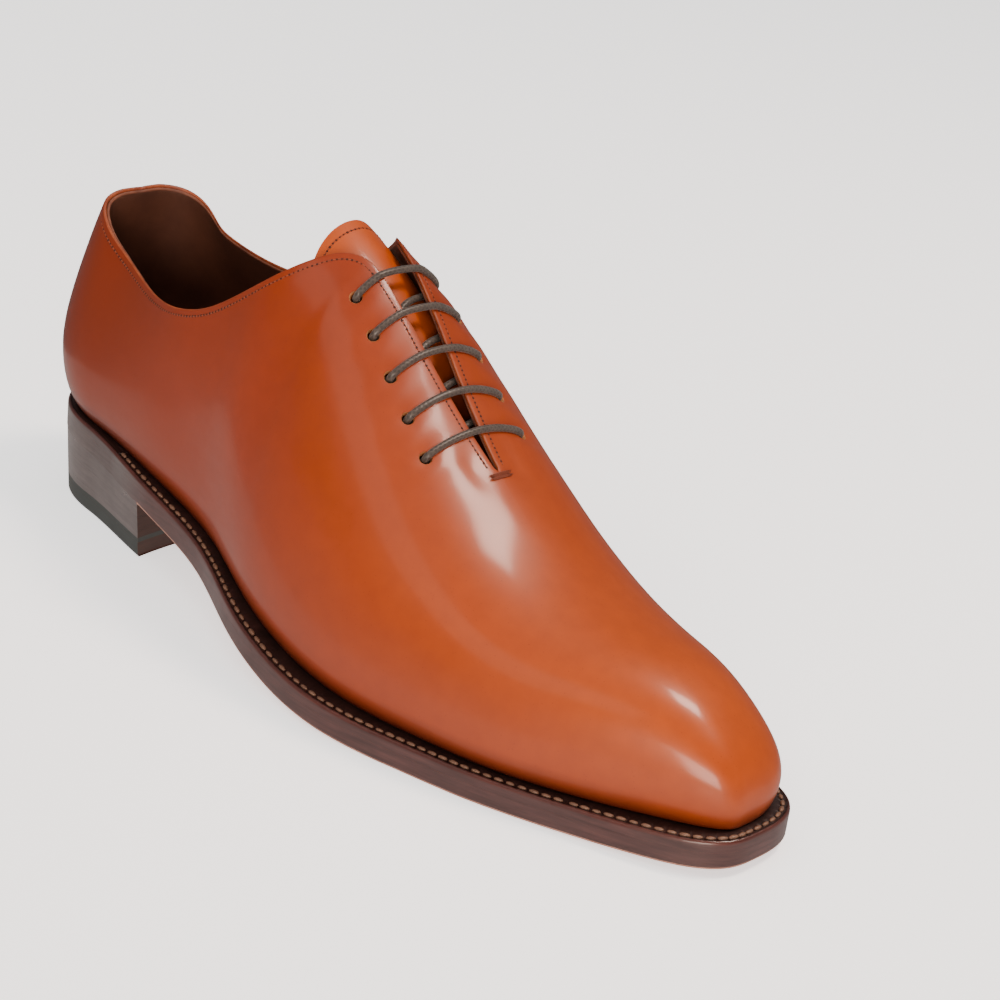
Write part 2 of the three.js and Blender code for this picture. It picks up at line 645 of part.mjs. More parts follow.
// The tongue follows the upper from under the throat; above its base it carries on in one sweep
function tongue() {
  const body = new Solid();
  const xs = [0, 0.04, 0.15, 0.35, 0.65, 1, 1.7].map((v) => TONGUE_TOP + v * TONGUE_ROUND);
  const stations = [...xs, ...steps(xs[xs.length - 1], TONGUE_END, 12).slice(1)];
  const sheet = (extra) => stations.map((x) => {
    const round = clamp((TONGUE_TOP + TONGUE_ROUND - x) / TONGUE_ROUND, 0, 1);
    const shape = Math.max(0, 1 - round ** TONGUE_CORNER_POWER) ** (1 / TONGUE_CORNER_POWER);
    const taper = smooth((x - FACING_TOP) / (TONGUE_END - FACING_TOP));
    const half = mix(TONGUE_HALF, TONGUE_HALF_END, taper) * shape;
    const free = Math.max(0, TONGUE_BASE - x);
    const lift = TONGUE_RISE * free - TONGUE_BEND * free * free;
    const row = [];
    for (let j = 0; j <= 12; j++) {
      const v = j / 6 - 1;
      const away = Math.abs(v) * half;
      const side = v < 0 ? -1 : 1;
      const p = onUpper(x + free, side, away, TONGUE_DEEP + extra);
      const middle = ridgeAt(x + free);
      const drawn = 1 - TONGUE_DRAW_IN[sideName(side)] * free;
      row.push([p.x - free, mix(middle, p.y, drawn), p.z + lift]);
    }
    return row;
  });
  const top = sheet(0);
  const under = sheet(TONGUE_THICK);
  const n = stations.length - 1;
  body.grid(top, false);
  body.grid(under, true);
  body.grid([under.map((r) => r[0]), top.map((r) => r[0])], true);
  body.grid([under.map((r) => r[12]), top.map((r) => r[12])], false);
  body.grid([under[0], top[0]], false);
  body.grid([under[n], top[n]], true);
  return body.geometry();
}

// The lace runs straight across above each row and slants to the next row beneath
function laceRoute() {
  const holes = eyelets();
  const at = (row, side) => holes.find((h) => h.row === row && h.side === side);
  const above = LACE_RADIUS + GAP + WALL / 2 + 0.05;
  const under = LACE_RADIUS + GAP + WALL / 2 + 0.1;
  const offset = (h, d) => h.middle.clone().addScaledVector(h.out, d);
  const deep = LACE_RADIUS + GAP + WALL + 0.4;
  const route = [];
  const top = EYELET_ROWS - 1;
  for (const row of [top - 0.3, top - 1, top - 2, 1, 0.4]) {
    const share = row / top;
    const x = mix(EYELET_FIRST, EYELET_LAST, share);
    route.push(onUpper(x, 1, mix(EYELET_OUT_FIRST, EYELET_OUT_LAST, share) + 7.5, deep));
  }
  for (let row = 0; row < EYELET_ROWS; row++) {
    const right = at(row, 1);
    const left = at(row, -1);
    const gap = halfGap(right.x) + 0.6;
    route.push(offset(right, -under), offset(right, above));
    const seat = -(LACE_RADIUS + GAP + 0.12);
    for (const share of [0.66, 0.33]) {
      route.push(onUpper(right.x, 1, mix(gap, right.away, share), seat));
    }
    route.push(onUpper(right.x, 1, gap, seat), onUpper(right.x, -1, gap, seat));
    for (const share of [0.33, 0.66]) {
      route.push(onUpper(left.x, -1, mix(gap, left.away, share), seat));
    }
    route.push(offset(left, above), offset(left, -under));
    if (row < top) {
      const next = at(row + 1, 1);
      for (const share of [0.25, 0.5, 0.75]) {
        const x = mix(left.x, next.x, share);
        const y = mix(-left.away, next.away, share);
        route.push(onUpper(x, y < 0 ? -1 : 1, Math.abs(y), deep));
      }
    } else {
      route.push(onUpper(left.x + 1, -1, left.away + 5, deep));
    }
  }
  return route;
}
function rounded(route) {
  const line = [route[0]];
  for (let i = 1; i + 1 < route.length; i++) {
    const back = route[i - 1].clone().sub(route[i]);
    const on = route[i + 1].clone().sub(route[i]);
    const bend = Math.PI - back.angleTo(on);
    if (bend < 0.25) {
      line.push(route[i]);
      continue;
    }
    const room = 0.48 * Math.min(back.length(), on.length());
    const cut = Math.min(room, LACE_BEND * Math.tan(bend / 2));
    const a = route[i].clone().addScaledVector(back.normalize(), cut);
    const b = route[i].clone().addScaledVector(on.normalize(), cut);
    for (const t of steps(0, 1, bend > 0.8 ? 2 : 1)) {
      const p = a.clone().multiplyScalar((1 - t) ** 2);
      p.addScaledVector(route[i], 2 * t * (1 - t)).addScaledVector(b, t * t);
      line.push(p);
    }
  }
  line.push(route[route.length - 1]);
  return line.filter((p, i) => i === 0 || p.distanceTo(line[i - 1]) > 0.15);
}
function tube(line, radius, sides) {
  const body = new Solid();
  let normal = new THREE.Vector3(0, 0, 1);
  const rings = line.map((p, i) => {
    const ahead = line[Math.min(i + 1, line.length - 1)].clone();
    const dir = ahead.sub(line[Math.max(i - 1, 0)]).normalize();
    normal = normal.clone().addScaledVector(dir, -normal.dot(dir)).normalize();
    const side = new THREE.Vector3().crossVectors(dir, normal);
    return Array.from({ length: sides + 1 }, (_, j) => {
      const a = (j % sides) / sides * Math.PI * 2;
      const r = p.clone().addScaledVector(normal, radius * Math.cos(a));
      return r.addScaledVector(side, radius * Math.sin(a)).toArray();
    });
  });
  body.grid(rings, false);
  [0, rings.length - 1].forEach((k) => {
    const r = rings[k];
    for (let j = 1; j + 1 < sides; j++) {
      if (k === 0) body.triangle(r[0], r[j], r[j + 1]);
      else body.triangle(r[0], r[j + 1], r[j]);
    }
  });
  return body.geometry();
}

const LOOKS = {
  tan: { color: 0xb5562a, roughness: 0.3 },
  lining: { color: 0x5a3426, roughness: 0.7 },
  edge: { color: 0x4a322f, roughness: 0.45 },
  sole: { color: 0x8a4a30, roughness: 0.5 },
  stack: { color: 0x4a3c3a, roughness: 0.45 },
  rubber: { color: 0x303431, roughness: 0.7 },
  cotton: { color: 0x5c514b, roughness: 0.6 },
};
const shoe = new THREE.Group();
function add(name, geometry, look) {
  const material = new THREE.MeshStandardMaterial({ ...LOOKS[look], metalness: 0 });
  const mesh = new THREE.Mesh(geometry, material);
  mesh.name = name;
  shoe.add(mesh);
}

add("outsole", outsole(), "sole");
add("welt", edgeStrip(weltPath), "edge");
add("heel_rand", edgeStrip(randPath), "edge");
add("heel_lift_upper", heelLayer(0, HEEL_BREAST, (x) => stackMid(x) + GAP / 2, stackTop), "stack");
add("heel_lift_lower", heelLayer(0, HEEL_BREAST, stackLow, (x) => stackMid(x) - GAP / 2), "stack");
add("rubber_lift", heelLayer(0, HEEL_BREAST, rubberLow, rubberTop), "rubber");
const front = heelLayer(TIP_LONG + GAP, HEEL_BREAST, () => 0, tipTop, { notch: true });
add("top_piece", front, "stack");
add("top_piece_tip", heelLayer(0, TIP_LONG, () => 0, tipTop), "rubber");
add("insole", insole(), "lining");
add("upper", upper(), "tan");
add("tongue", tongue(), "tan");
add("lace", tube(rounded(laceRoute()), LACE_RADIUS, 8), "cotton");

// The origin is under the middle of the whole shoe
const box = new THREE.Box3().setFromObject(shoe);
const middle = box.getCenter(new THREE.Vector3());
shoe.children.forEach((mesh) => mesh.geometry.translate(-middle.x, -middle.y, -box.min.z));

export default shoe;
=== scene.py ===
"""Looks of the right cut oxford: calf upper, welted leather sole, stacked heel and round lace.

The CAD part is the fixed frame. Sizes are millimetres in the shoe's own coordinates (x from the
heel to the toe, y to the medial side, z up) and become metres in the frame when a mesh is made.
"""

import math

import bmesh
import bpy
import numpy as np
from mathutils import Matrix, Vector


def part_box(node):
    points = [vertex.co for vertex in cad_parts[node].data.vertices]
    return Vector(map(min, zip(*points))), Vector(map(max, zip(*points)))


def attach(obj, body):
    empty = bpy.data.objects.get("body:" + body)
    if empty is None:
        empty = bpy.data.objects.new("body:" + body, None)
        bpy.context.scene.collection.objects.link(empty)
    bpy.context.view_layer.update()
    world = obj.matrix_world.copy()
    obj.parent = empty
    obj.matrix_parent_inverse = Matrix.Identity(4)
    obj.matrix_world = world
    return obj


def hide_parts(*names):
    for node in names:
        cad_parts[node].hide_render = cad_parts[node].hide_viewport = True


bl_info = {
    "name": "Cut Oxford",
    "version": (1, 0, 0),
    "blender": (4, 5, 0),
    "location": "View3D > Sidebar > Oxford",
    "description": "Calf upper, welted leather sole, stacked heel and lace of a right cut oxford",
    "category": "Add Mesh",
}

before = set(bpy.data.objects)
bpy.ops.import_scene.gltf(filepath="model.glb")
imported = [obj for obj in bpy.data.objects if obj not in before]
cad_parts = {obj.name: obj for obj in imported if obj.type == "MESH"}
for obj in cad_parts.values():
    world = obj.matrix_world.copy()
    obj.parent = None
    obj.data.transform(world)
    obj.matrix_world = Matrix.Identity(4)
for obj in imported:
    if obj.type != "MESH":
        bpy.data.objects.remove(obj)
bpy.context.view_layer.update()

# Main sizes of the shoe
LENGTH = 302
BALL_WIDTH = 101
HEEL_HEIGHT = 24
TOE_SPRING = 2.9
INSTEP_HEIGHT = 125
GAP = 0.3
OUTSOLE_THICK = 5.2
WELT_THICK = 3.3
EDGE_CHAMFER = 0.6
WALL = 2.0
HEEL_CAP_LONG = 32
TOE_CAP_LONG = 40
HEEL_CAP_POWER = 2.2
TOE_CAP_POWER = 2.75
TOE_ARC = TOE_CAP_LONG * 1.35
FEATHER_BACK = 1.8
FEATHER_FRONT = 297
TOE_ARCH_LONG = 44
TOE_ARCH_POWER = 2.2
TOE_PUFF = 2.0
TOE_PUFF_LONG = 30
TOE_PUFF_HIGH = 26
UNDER = 0.22
HEEL_BREAST = 68
BREAST_CURVE = 2.2
TOP_PIECE_THICK = 4.8
RUBBER_LIFT_THICK = 3.6
TIP_LONG = 13
NOTCH_LONG = 5
NOTCH_WIDE = 10
HEEL_TAPER = 1.1
INSOLE_RISE = 2.4
VAMP_POINT = 191.6
FACING_TOP = 141
CORNER_ROUND = 8.0
FACING_HALF_GAP = 6.8
THROAT_HALF_GAP = 0.9
EYELET_RADIUS = 1.75
EYELET_ROWS = 5
EYELET_FIRST = 181
EYELET_LAST = 141.5
EYELET_OUT_FIRST = 18.8
EYELET_OUT_LAST = 15.8
LACE_RADIUS = 1.15
TONGUE_THICK = 1.8
TONGUE_DEEP = 5.9
TONGUE_TOP = 119
TONGUE_BASE = 143
TONGUE_RISE = 0.92
TONGUE_BEND = 0.0095
TONGUE_DRAW_IN = {-1: 0.003, 1: 0.0105}
TONGUE_END = 206
TONGUE_HALF = 20
TONGUE_HALF_END = 15
TONGUE_ROUND = 9
TONGUE_CORNER_POWER = 3

# Relief of the calf: depth of the drawn folds and their reach outwards and inwards of the holes,
# hollow at each hole, swell under the bar tack, dips beside it, and the waves of a lasted hide
FOLD_DEPTH = 0.22
FOLD_OUTWARDS = 7.5
FOLD_INWARDS = 6
HOLE_DENT = 0.24
HOLE_DENT_RADIUS = 2.9
THROAT_SWELL = 0.55
THROAT_DIP = 0.5
HIDE_WAVE = 0.13
HIDE_RIPPLE = 0.06
RELIEF_FADE = 8

# Eyelet punch, stitching and welt
EYELET_BEVEL = 0.28
PUNCH_REACH = 5.0
STITCH_INSET = 1.9
TONGUE_STITCH_INSET = 3.2
THREAD_WIDE, THREAD_HIGH = 0.42, 0.3
NEEDLE_HOLE_SHADE = 0.8
BAR_STRANDS = 6
BAR_STRAND = (8.6, 0.44, 0.9)
WELT_PITCH = 3.6
WELT_STITCH_IN = 2.3
WELT_THREAD_WIDE, WELT_THREAD_HIGH = 1.4, 1.05
WHEEL_DENT = 0.45
WHEEL_DENT_LONG = 0.5
WELT_BEAD = 0.12
WELT_CREASE = 0.25
TOE_NAILS = 5
HEEL_MIDDLE = 30.0

# Shares of the length, of half the ball width, of the heel height and toe spring, and of the
# instep
PLAN = {
    "along": (0, 0.116, 0.232, 0.348, 0.447, 0.53, 0.613, 0.695, 0.778, 0.861, 0.934, 1),
    "centre": (0.05, 0.044, 0.024, 0.006, 0, 0, 0, 0, 0.001, 0.018, 0.057, 0.112),
    "lateral": (0.632, 0.61, 0.681, 0.731, 0.911, 1.002, 1.002, 0.883, 0.737, 0.554, 0.428, 0.393),
    "medial": (0.618, 0.651, 0.529, 0.422, 0.673, 0.921, 0.982, 0.939, 0.85, 0.733, 0.64, 0.634),
}
PROFILE = {
    "along": (0, 0.232, 0.348, 0.447, 0.53, 0.613, 0.68, 0.762, 0.861, 1),
    "heel": (1, 0.768, 0.53, 0.32, 0.135, 0.04, 0, 0, 0, 0),
    "toe": (0, 0, 0, 0, 0, 0, 0, 0, 0.16, 1),
}
LEDGE = {
    "along": (0, 0.106, 0.232, 0.348, 0.447, 0.6, 0.8, 1),
    "lateral": (2.6, 2.8, 5.4, 5.8, 6.5, 7.4, 5.6, 10.4),
    "medial": (2.8, 2.6, 2.2, 1.6, 2.6, 4.5, 5, 3.6),
}
RIDGE = {
    "along": (0, 0.11, 0.25, 0.35, 0.45, 0.55, 0.64, 0.72, 0.8, 0.88, 1),
    "top": (1, 1, 1.024, 1.05, 0.978, 0.761, 0.578, 0.457, 0.397, 0.373, 0.359),
    "ridge": (2.5, 2.2, 1, 1.4, 2.1, 2.5, 2.6, 3, 3.5, 4.5, 5),
    "reach": (0.55, 0.95, 0.5, 0.8, 1, 1, 1, 1, 1, 1, 1),
    "lean": (80, 80, 68, 38, 0, 0, 0, 0, 0, 0, 0),
}
TOPLINE = {
    "along": (0.01, 0.035, 0.07, 0.12, 0.16, 0.21, 0.26, 0.295, 0.325, 0.355, 0.385, 0.412,
              0.44, 0.47, 0.55),
    "lateral": (0.822, 0.797, 0.748, 0.704, 0.684, 0.682, 0.704, 0.736, 0.78, 0.834, 0.892,
                0.944, 0.984, 1.006, 1.03),
    "medial": (0.822, 0.806, 0.768, 0.728, 0.71, 0.706, 0.726, 0.758, 0.8, 0.854, 0.912, 0.962,
               1.002, 1.024, 1.05),
}
SIDE_ALONG = (0, 0.11, 0.25, 0.35, 0.45, 0.55, 0.64, 0.72, 0.8, 0.88, 1)
SIDES = {
    "lateral": {
        "along": SIDE_ALONG,
        "out": (5.8, 5.1, 3.8, 3.4, 3.1, 3, 3, 3, 2.8, 2.5, 2),
        "up": (20.4, 20.4, 19.4, 16.5, 14.7, 12.7, 11.7, 10.7, 9.7, 9.7, 8.7),
        "low": (0.32, 0.34, 0.38, 0.37, 0.34, 0.37, 0.46, 0.55, 0.6, 0.62, 0.66),
        "high": (0.1, 0.18, 0.38, 0.42, 0.6, 0.66, 0.69, 0.68, 0.66, 0.64, 0.61),
    },
    "medial": {
        "along": SIDE_ALONG,
        "out": (4, 3.8, 3.6, 4.7, 5.2, 4.8, 4.3, 4.1, 4, 3.2, 3),
        "up": (20.4, 20.4, 22, 21, 19, 16, 13, 12, 11, 10, 9),
        "low": (0.32, 0.34, 0.38, 0.38, 0.36, 0.4, 0.48, 0.58, 0.61, 0.64, 0.66),
        "high": (0.1, 0.18, 0.38, 0.46, 0.66, 0.68, 0.66, 0.62, 0.62, 0.62, 0.6),
    },
}
SIDE_NAME = {-1: "lateral", 1: "medial"}


# Form of the last and the sole

def mix(a, b, t):
    return a + (b - a) * t


def smooth(t):
    c = np.clip(t, 0, 1)
    return c * c * (3 - 2 * c)


def cell(xs, x):
    """x kept within the rows, the number of its interval and that interval's length."""
    x = np.clip(x, xs[0], xs[-1])
    i = np.clip(np.searchsorted(xs, x, side="left") - 1, 0, len(xs) - 2)
    return x, i, xs[i + 1] - xs[i]


def cubic(table, key):
    """Natural cubic through one column of a table, as a function of x."""
    xs = np.array(table["along"], float) * LENGTH
    ys = np.array(table[key], float)
    n = len(xs)
    a = np.eye(n)
    rhs = np.zeros(n)
    for i in range(1, n - 1):
        before, after = xs[i] - xs[i - 1], xs[i + 1] - xs[i]
        a[i, i - 1:i + 2] = (before, 2 * (before + after), after)
        rhs[i] = 6 * ((ys[i + 1] - ys[i]) / after - (ys[i] - ys[i - 1]) / before)
    bend = np.linalg.solve(a, rhs)

    def value(x):
        x, i, h = cell(xs, x)
        u, v = (xs[i + 1] - x) / h, (x - xs[i]) / h
        curl = ((u ** 3 - u) * bend[i] + (v ** 3 - v) * bend[i + 1]) * h * h / 6
        return u * ys[i] + v * ys[i + 1] + curl
    return value


def steady(table, key):
    """Cubic that doesn't overshoot its rows."""
    xs = np.array(table["along"], float) * LENGTH
    ys = np.array(table[key], float)
    n = len(xs)
    slope = np.diff(ys) / np.diff(xs)
    m = np.zeros(n)
    for i in range(1, n - 1):
        if slope[i - 1] * slope[i] > 0:
            m[i] = 2 * slope[i - 1] * slope[i] / (slope[i - 1] + slope[i])

    def value(x):
        x, i, h = cell(xs, x)
        t = (x - xs[i]) / h
        rise = (3 - 2 * t) * t * t * (ys[i + 1] - ys[i])
        return ys[i] + rise + h * t * (1 - t) * ((1 - t) * m[i] - t * m[i + 1])
    return value


centre_share = cubic(PLAN, "centre")
heel_share = cubic(PROFILE, "heel")
toe_share = cubic(PROFILE, "toe")
top_at = cubic(RIDGE, "top")
ridge_at = cubic(RIDGE, "ridge")
reach_at = steady(RIDGE, "reach")
lean_at = steady(RIDGE, "lean")
width_at = {s: cubic(PLAN, n) for s, n in SIDE_NAME.items()}
ledge_at = {s: cubic(LEDGE, n) for s, n in SIDE_NAME.items()}
topline_at = {s: cubic(TOPLINE, n) for s, n in SIDE_NAME.items()}
swell = {key: {s: cubic(SIDES[n], key) for s, n in SIDE_NAME.items()}
         for key in ("out", "up", "low", "high")}


def sided(pair, side, x, q):
    """Both sides share one value at the middle of the back."""
    mean = (pair[-1](x) + pair[1](x)) / 2
    return mix(mean, pair[side](x), smooth(q))


def centre_y(x):
    return centre_share(x) * BALL_WIDTH / 2


def sole_bottom(x):
    return np.maximum(0, heel_share(x) * HEEL_HEIGHT + toe_share(x) * TOE_SPRING)


def sole_top(x):
    return sole_bottom(x) + OUTSOLE_THICK


def welt_top(x):
    return sole_top(x) + GAP + WELT_THICK


def foot_z(x):
    return welt_top(x) + GAP


def outline(q, side, back, front, width):
    """A closed outline: q is 0 at the back, 1 where the heel's curve ends and 2 at the toe."""
    q = np.asarray(q, float)
    heel_end = back + HEEL_CAP_LONG
    toe_start = front - TOE_CAP_LONG
    span = toe_start - heel_end
    angle = np.clip(q, 0, 1) * np.pi / 2
    heel_x = back + HEEL_CAP_LONG * (1 - np.clip(np.cos(angle), 0, 1) ** (2 / HEEL_CAP_POWER))
    heel_cap = np.sin(angle) ** (2 / HEEL_CAP_POWER)
    run = (q - 1) * (span + TOE_ARC)
    turn = np.clip((run - span) / TOE_ARC, 0, 1) * np.pi / 2
    toe_x = toe_start + TOE_CAP_LONG * np.sin(turn) ** (2 / TOE_CAP_POWER)
    toe_cap = np.clip(np.cos(turn), 0, 1) ** (2 / TOE_CAP_POWER)
    toe_cap = np.where(turn > np.pi / 2 - 1e-9, 0, toe_cap)
    x = np.where(q <= 1, heel_x, np.where(run <= span, heel_end + run, toe_x))
    cap = np.where(q <= 1, heel_cap, np.where(run <= span, 1, toe_cap))
    return x, centre_y(x) + side * width(x) * cap


def q_of_x(x, back, front):
    return 1 + (x - back - HEEL_CAP_LONG) / (front - TOE_CAP_LONG - back - HEEL_CAP_LONG + TOE_ARC)


def sole_point(q, side, inset):
    return outline(q, side, inset, LENGTH - inset,
                   lambda x: width_at[side](x) * BALL_WIDTH / 2 - inset)


def feather_point(q, side, inset):
    return outline(q, side, FEATHER_BACK + inset, FEATHER_FRONT - inset,
                   lambda x: width_at[side](x) * BALL_WIDTH / 2 - ledge_at[side](x) - inset)


def rib(q, side, inset):
    """Sections of the upper: a function from t (0 at the foot, 1 at the ridge) to points."""
    q = np.atleast_1d(np.asarray(q, float))[:, None]
    x, foot_y = feather_point(q, side, inset)
    fan = np.clip(q, 0, 1) * np.pi / 2
    dir_x = np.where(q < 1, np.cos(fan), 0)
    dir_y = np.where(q < 1, -side * np.sin(fan), -side)
    base = foot_z(x)
    front = FEATHER_FRONT - inset
    past = np.clip((x - (front - TOE_ARCH_LONG)) / TOE_ARCH_LONG, 0, 1)
    arch = np.clip(1 - past ** TOE_ARCH_POWER, 0, 1) ** (1 / TOE_ARCH_POWER)
    ridge_y = mix(ridge_at(x), centre_y(x), past * past)
    rise = (top_at(x + 1) - top_at(x - 1)) * INSTEP_HEIGHT / 2
    height = (top_at(x) * INSTEP_HEIGHT - inset * np.sqrt(1 + rise * rise) - base) * arch
    out = sided(swell["out"], side, x, q) * arch
    up = sided(swell["up"], side, x, q) * arch
    heel_part = (FEATHER_BACK + HEEL_CAP_LONG - x) * np.cos(fan) ** 2
    across = np.abs(foot_y - ridge_y)
    full = np.where(q < 1, heel_part + across * np.sin(fan) ** 2, across)
    reach = full * np.clip(reach_at(x), 0, 1)
    lean = np.radians(np.clip(lean_at(x), 0, 90))
    handle = (reach + out) * np.cos(lean) + (height - up) * np.sin(lean)
    back = sided(swell["high"], side, x, q) * handle
    puff = TOE_PUFF * smooth((x - front + TOE_PUFF_LONG) / TOE_PUFF_LONG)
    knee = up + sided(swell["low"], side, x, q) * (height - up)
    near = reach - back * np.cos(lean), height - back * np.sin(lean)

    def at(t):
        t = np.asarray(t, float)
        t = t if t.ndim == 2 else t[None, :]
        low = np.clip(t / UNDER, 0, 1) * np.pi / 2
        d0 = -out * np.sin(low)
        h0 = up * (0.5 * (1 - np.cos(low)) + 0.5 * low * 2 / np.pi)
        u = (t - UNDER) / (1 - UNDER)
        w = (1 - u) ** 3, 3 * u * (1 - u) ** 2, 3 * u * u * (1 - u), u ** 3
        d1 = -w[0] * out - w[1] * out + w[2] * near[0] + w[3] * reach
        h1 = w[0] * up + w[1] * knee + w[2] * near[1] + w[3] * height
        d = np.where(t < UNDER, d0, d1)
        h = np.where(t < UNDER, h0, h1)
        push = puff * np.sin(np.pi * np.clip(h / TOE_PUFF_HIGH, 0, 1))
        zero = np.zeros_like(d)
        return np.stack([x + dir_x * d + push, foot_y + dir_y * d + zero, base + h + zero], -1)
    at.ridge = ridge_y
    return at


def find(at, measure, value, shape):
    """Parameter on each rib where a growing measure passes a value; 1.5 where it never does."""
    low, high = np.zeros(shape), np.ones(shape)
    never = measure(at(np.ones(shape))) < value
    for _ in range(30):
        mid = (low + high) / 2
        less = measure(at(mid)) < value
        low, high = np.where(less, mid, low), np.where(less, high, mid)
    return np.where(never, 1.5, (low + high) / 2)


VAMP_Q = q_of_x(VAMP_POINT, FEATHER_BACK, FEATHER_FRONT)


def half_gap(x):
    """Half the opening between the facings, wider towards the top."""
    share = np.clip((x - FACING_TOP) / (VAMP_POINT - FACING_TOP), -0.6, 1)
    return mix(FACING_HALF_GAP, THROAT_HALF_GAP, share)


def rib_end(q, side, inset):
    """Where each rib stops: at the top line, at the facing, or at the ridge on the vamp."""
    q = np.atleast_1d(np.asarray(q, float))
    at = rib(q, side, inset)
    shape = (len(q), 1)
    x_half = at(np.full(shape, 0.5))[..., 0]
    foot = at(np.zeros(shape))[..., 0]
    collar = sided(topline_at, side, foot, q[:, None]) * INSTEP_HEIGHT
    close = np.clip((VAMP_POINT - x_half) / 1.6, 0, 1)
    gap = half_gap(x_half) * np.sqrt(1 - (1 - close) ** 2)
    behind = 60 * (1 - smooth((q[:, None] - 1.15) / 0.2))

    def passed(p):
        over = p[..., 2] - collar
        near = gap - np.abs(p[..., 1] - at.ridge) - behind
        both = np.clip(1 - np.abs(over - near) / CORNER_ROUND, 0, 1)
        return np.maximum(over, near) + both * both * CORNER_ROUND / 4
    end = np.minimum(1, find(at, passed, 0, shape))
    return np.where(q[:, None] >= VAMP_Q - 1e-9, 1, end)


def on_upper(x, side, away, depth):
    """Points of the upper's surface at x and at a distance from the ridge, sunk by a depth."""
    x = np.atleast_1d(np.asarray(x, float))
    away = np.broadcast_to(np.asarray(away, float), x.shape)[:, None]
    at = rib(q_of_x(x, FEATHER_BACK + depth, FEATHER_FRONT - depth), side, depth)
    t = find(at, lambda p: -np.abs(p[..., 1] - at.ridge), -np.maximum(away, 1e-4), away.shape)
    return at(np.minimum(1, t))[:, 0]


def unit(v):
    return v / np.maximum(np.linalg.norm(v, axis=-1, keepdims=True), 1e-12)


def eyelets():
    """Middle, outward direction and row of each hole."""
    found = []
    for row in range(EYELET_ROWS):
        share = row / (EYELET_ROWS - 1)
        x = mix(EYELET_FIRST, EYELET_LAST, share)
        away = mix(EYELET_OUT_FIRST, EYELET_OUT_LAST, share)
        for side in (-1, 1):
            here = on_upper([x, x + 2, x - 2], side, away, 0.0)
            down = on_upper(x, side, away + 2, 0.0)[0] - on_upper(x, side, away - 2, 0.0)[0]
            out = unit(np.cross(down, here[1] - here[2]))
            out = out if out[2] > 0 else -out
            found.append({"row": row, "side": side, "x": x, "away": away,
                          "at": here[0], "out": out})
    return found


HOLES = eyelets()


def relief(points):
    """Given hollows and swells of the calf, in millimetres outwards."""
    x, y = points[..., 0], points[..., 1]
    away = np.abs(y - ridge_at(x))
    lift = np.zeros_like(x)
    pitch = (EYELET_FIRST - EYELET_LAST) / (EYELET_ROWS - 1)
    share = np.clip((EYELET_FIRST - x) / (EYELET_FIRST - EYELET_LAST), -0.3, 1.3)
    line = mix(EYELET_OUT_FIRST, EYELET_OUT_LAST, share)
    beyond = away - line
    # Drawn folds run outwards from each hole, with soft rolls between the rows
    wave = -np.cos((x - EYELET_LAST) / pitch * 2 * np.pi)
    near = np.exp(-(np.maximum(beyond, 0) / FOLD_OUTWARDS) ** 2
                  - (np.minimum(beyond, 0) / FOLD_INWARDS) ** 2)
    inside = smooth((x - EYELET_LAST + 9) / 7) * smooth((EYELET_FIRST + 9 - x) / 7)
    lift += FOLD_DEPTH * wave * near * inside * smooth(away / 4)
    for hole in HOLES:
        r2 = np.sum((points - hole["at"]) ** 2, -1)
        lift -= HOLE_DENT * np.exp(-r2 / HOLE_DENT_RADIUS ** 2)
    # The closed throat stands up a little under the bar tack
    lift += THROAT_SWELL * np.exp(-((x - VAMP_POINT - 10) / 11) ** 2 - ((y - 3) / 8) ** 2)
    lift -= THROAT_DIP * np.exp(-((x - VAMP_POINT + 3) / 6) ** 2 - ((away - 7) / 4) ** 2)
    # Long soft waves that a pulled and lasted hide keeps
    lift += HIDE_WAVE * np.sin(x / 17 + 0.6) * np.sin(points[..., 2] / 13 + y / 21)
    lift += HIDE_RIPPLE * np.sin(x / 7.3 + y / 9) * np.sin(points[..., 2] / 6.1 + 1)
    return lift


# Meshes

def origin():
    """The frame's origin in the shoe's coordinates, found from the lateral edge of the sole."""
    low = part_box("outsole")[0]
    edge_y = [sole_point(np.linspace(0, 2, 4001), side, 0)[1].min() for side in (-1, 1)]
    return np.array([-low.x * 1000, min(edge_y) - low.y * 1000, 0.0])


ORIGIN = origin()


def to_frame(points):
    return (np.asarray(points, float) - ORIGIN) / 1000


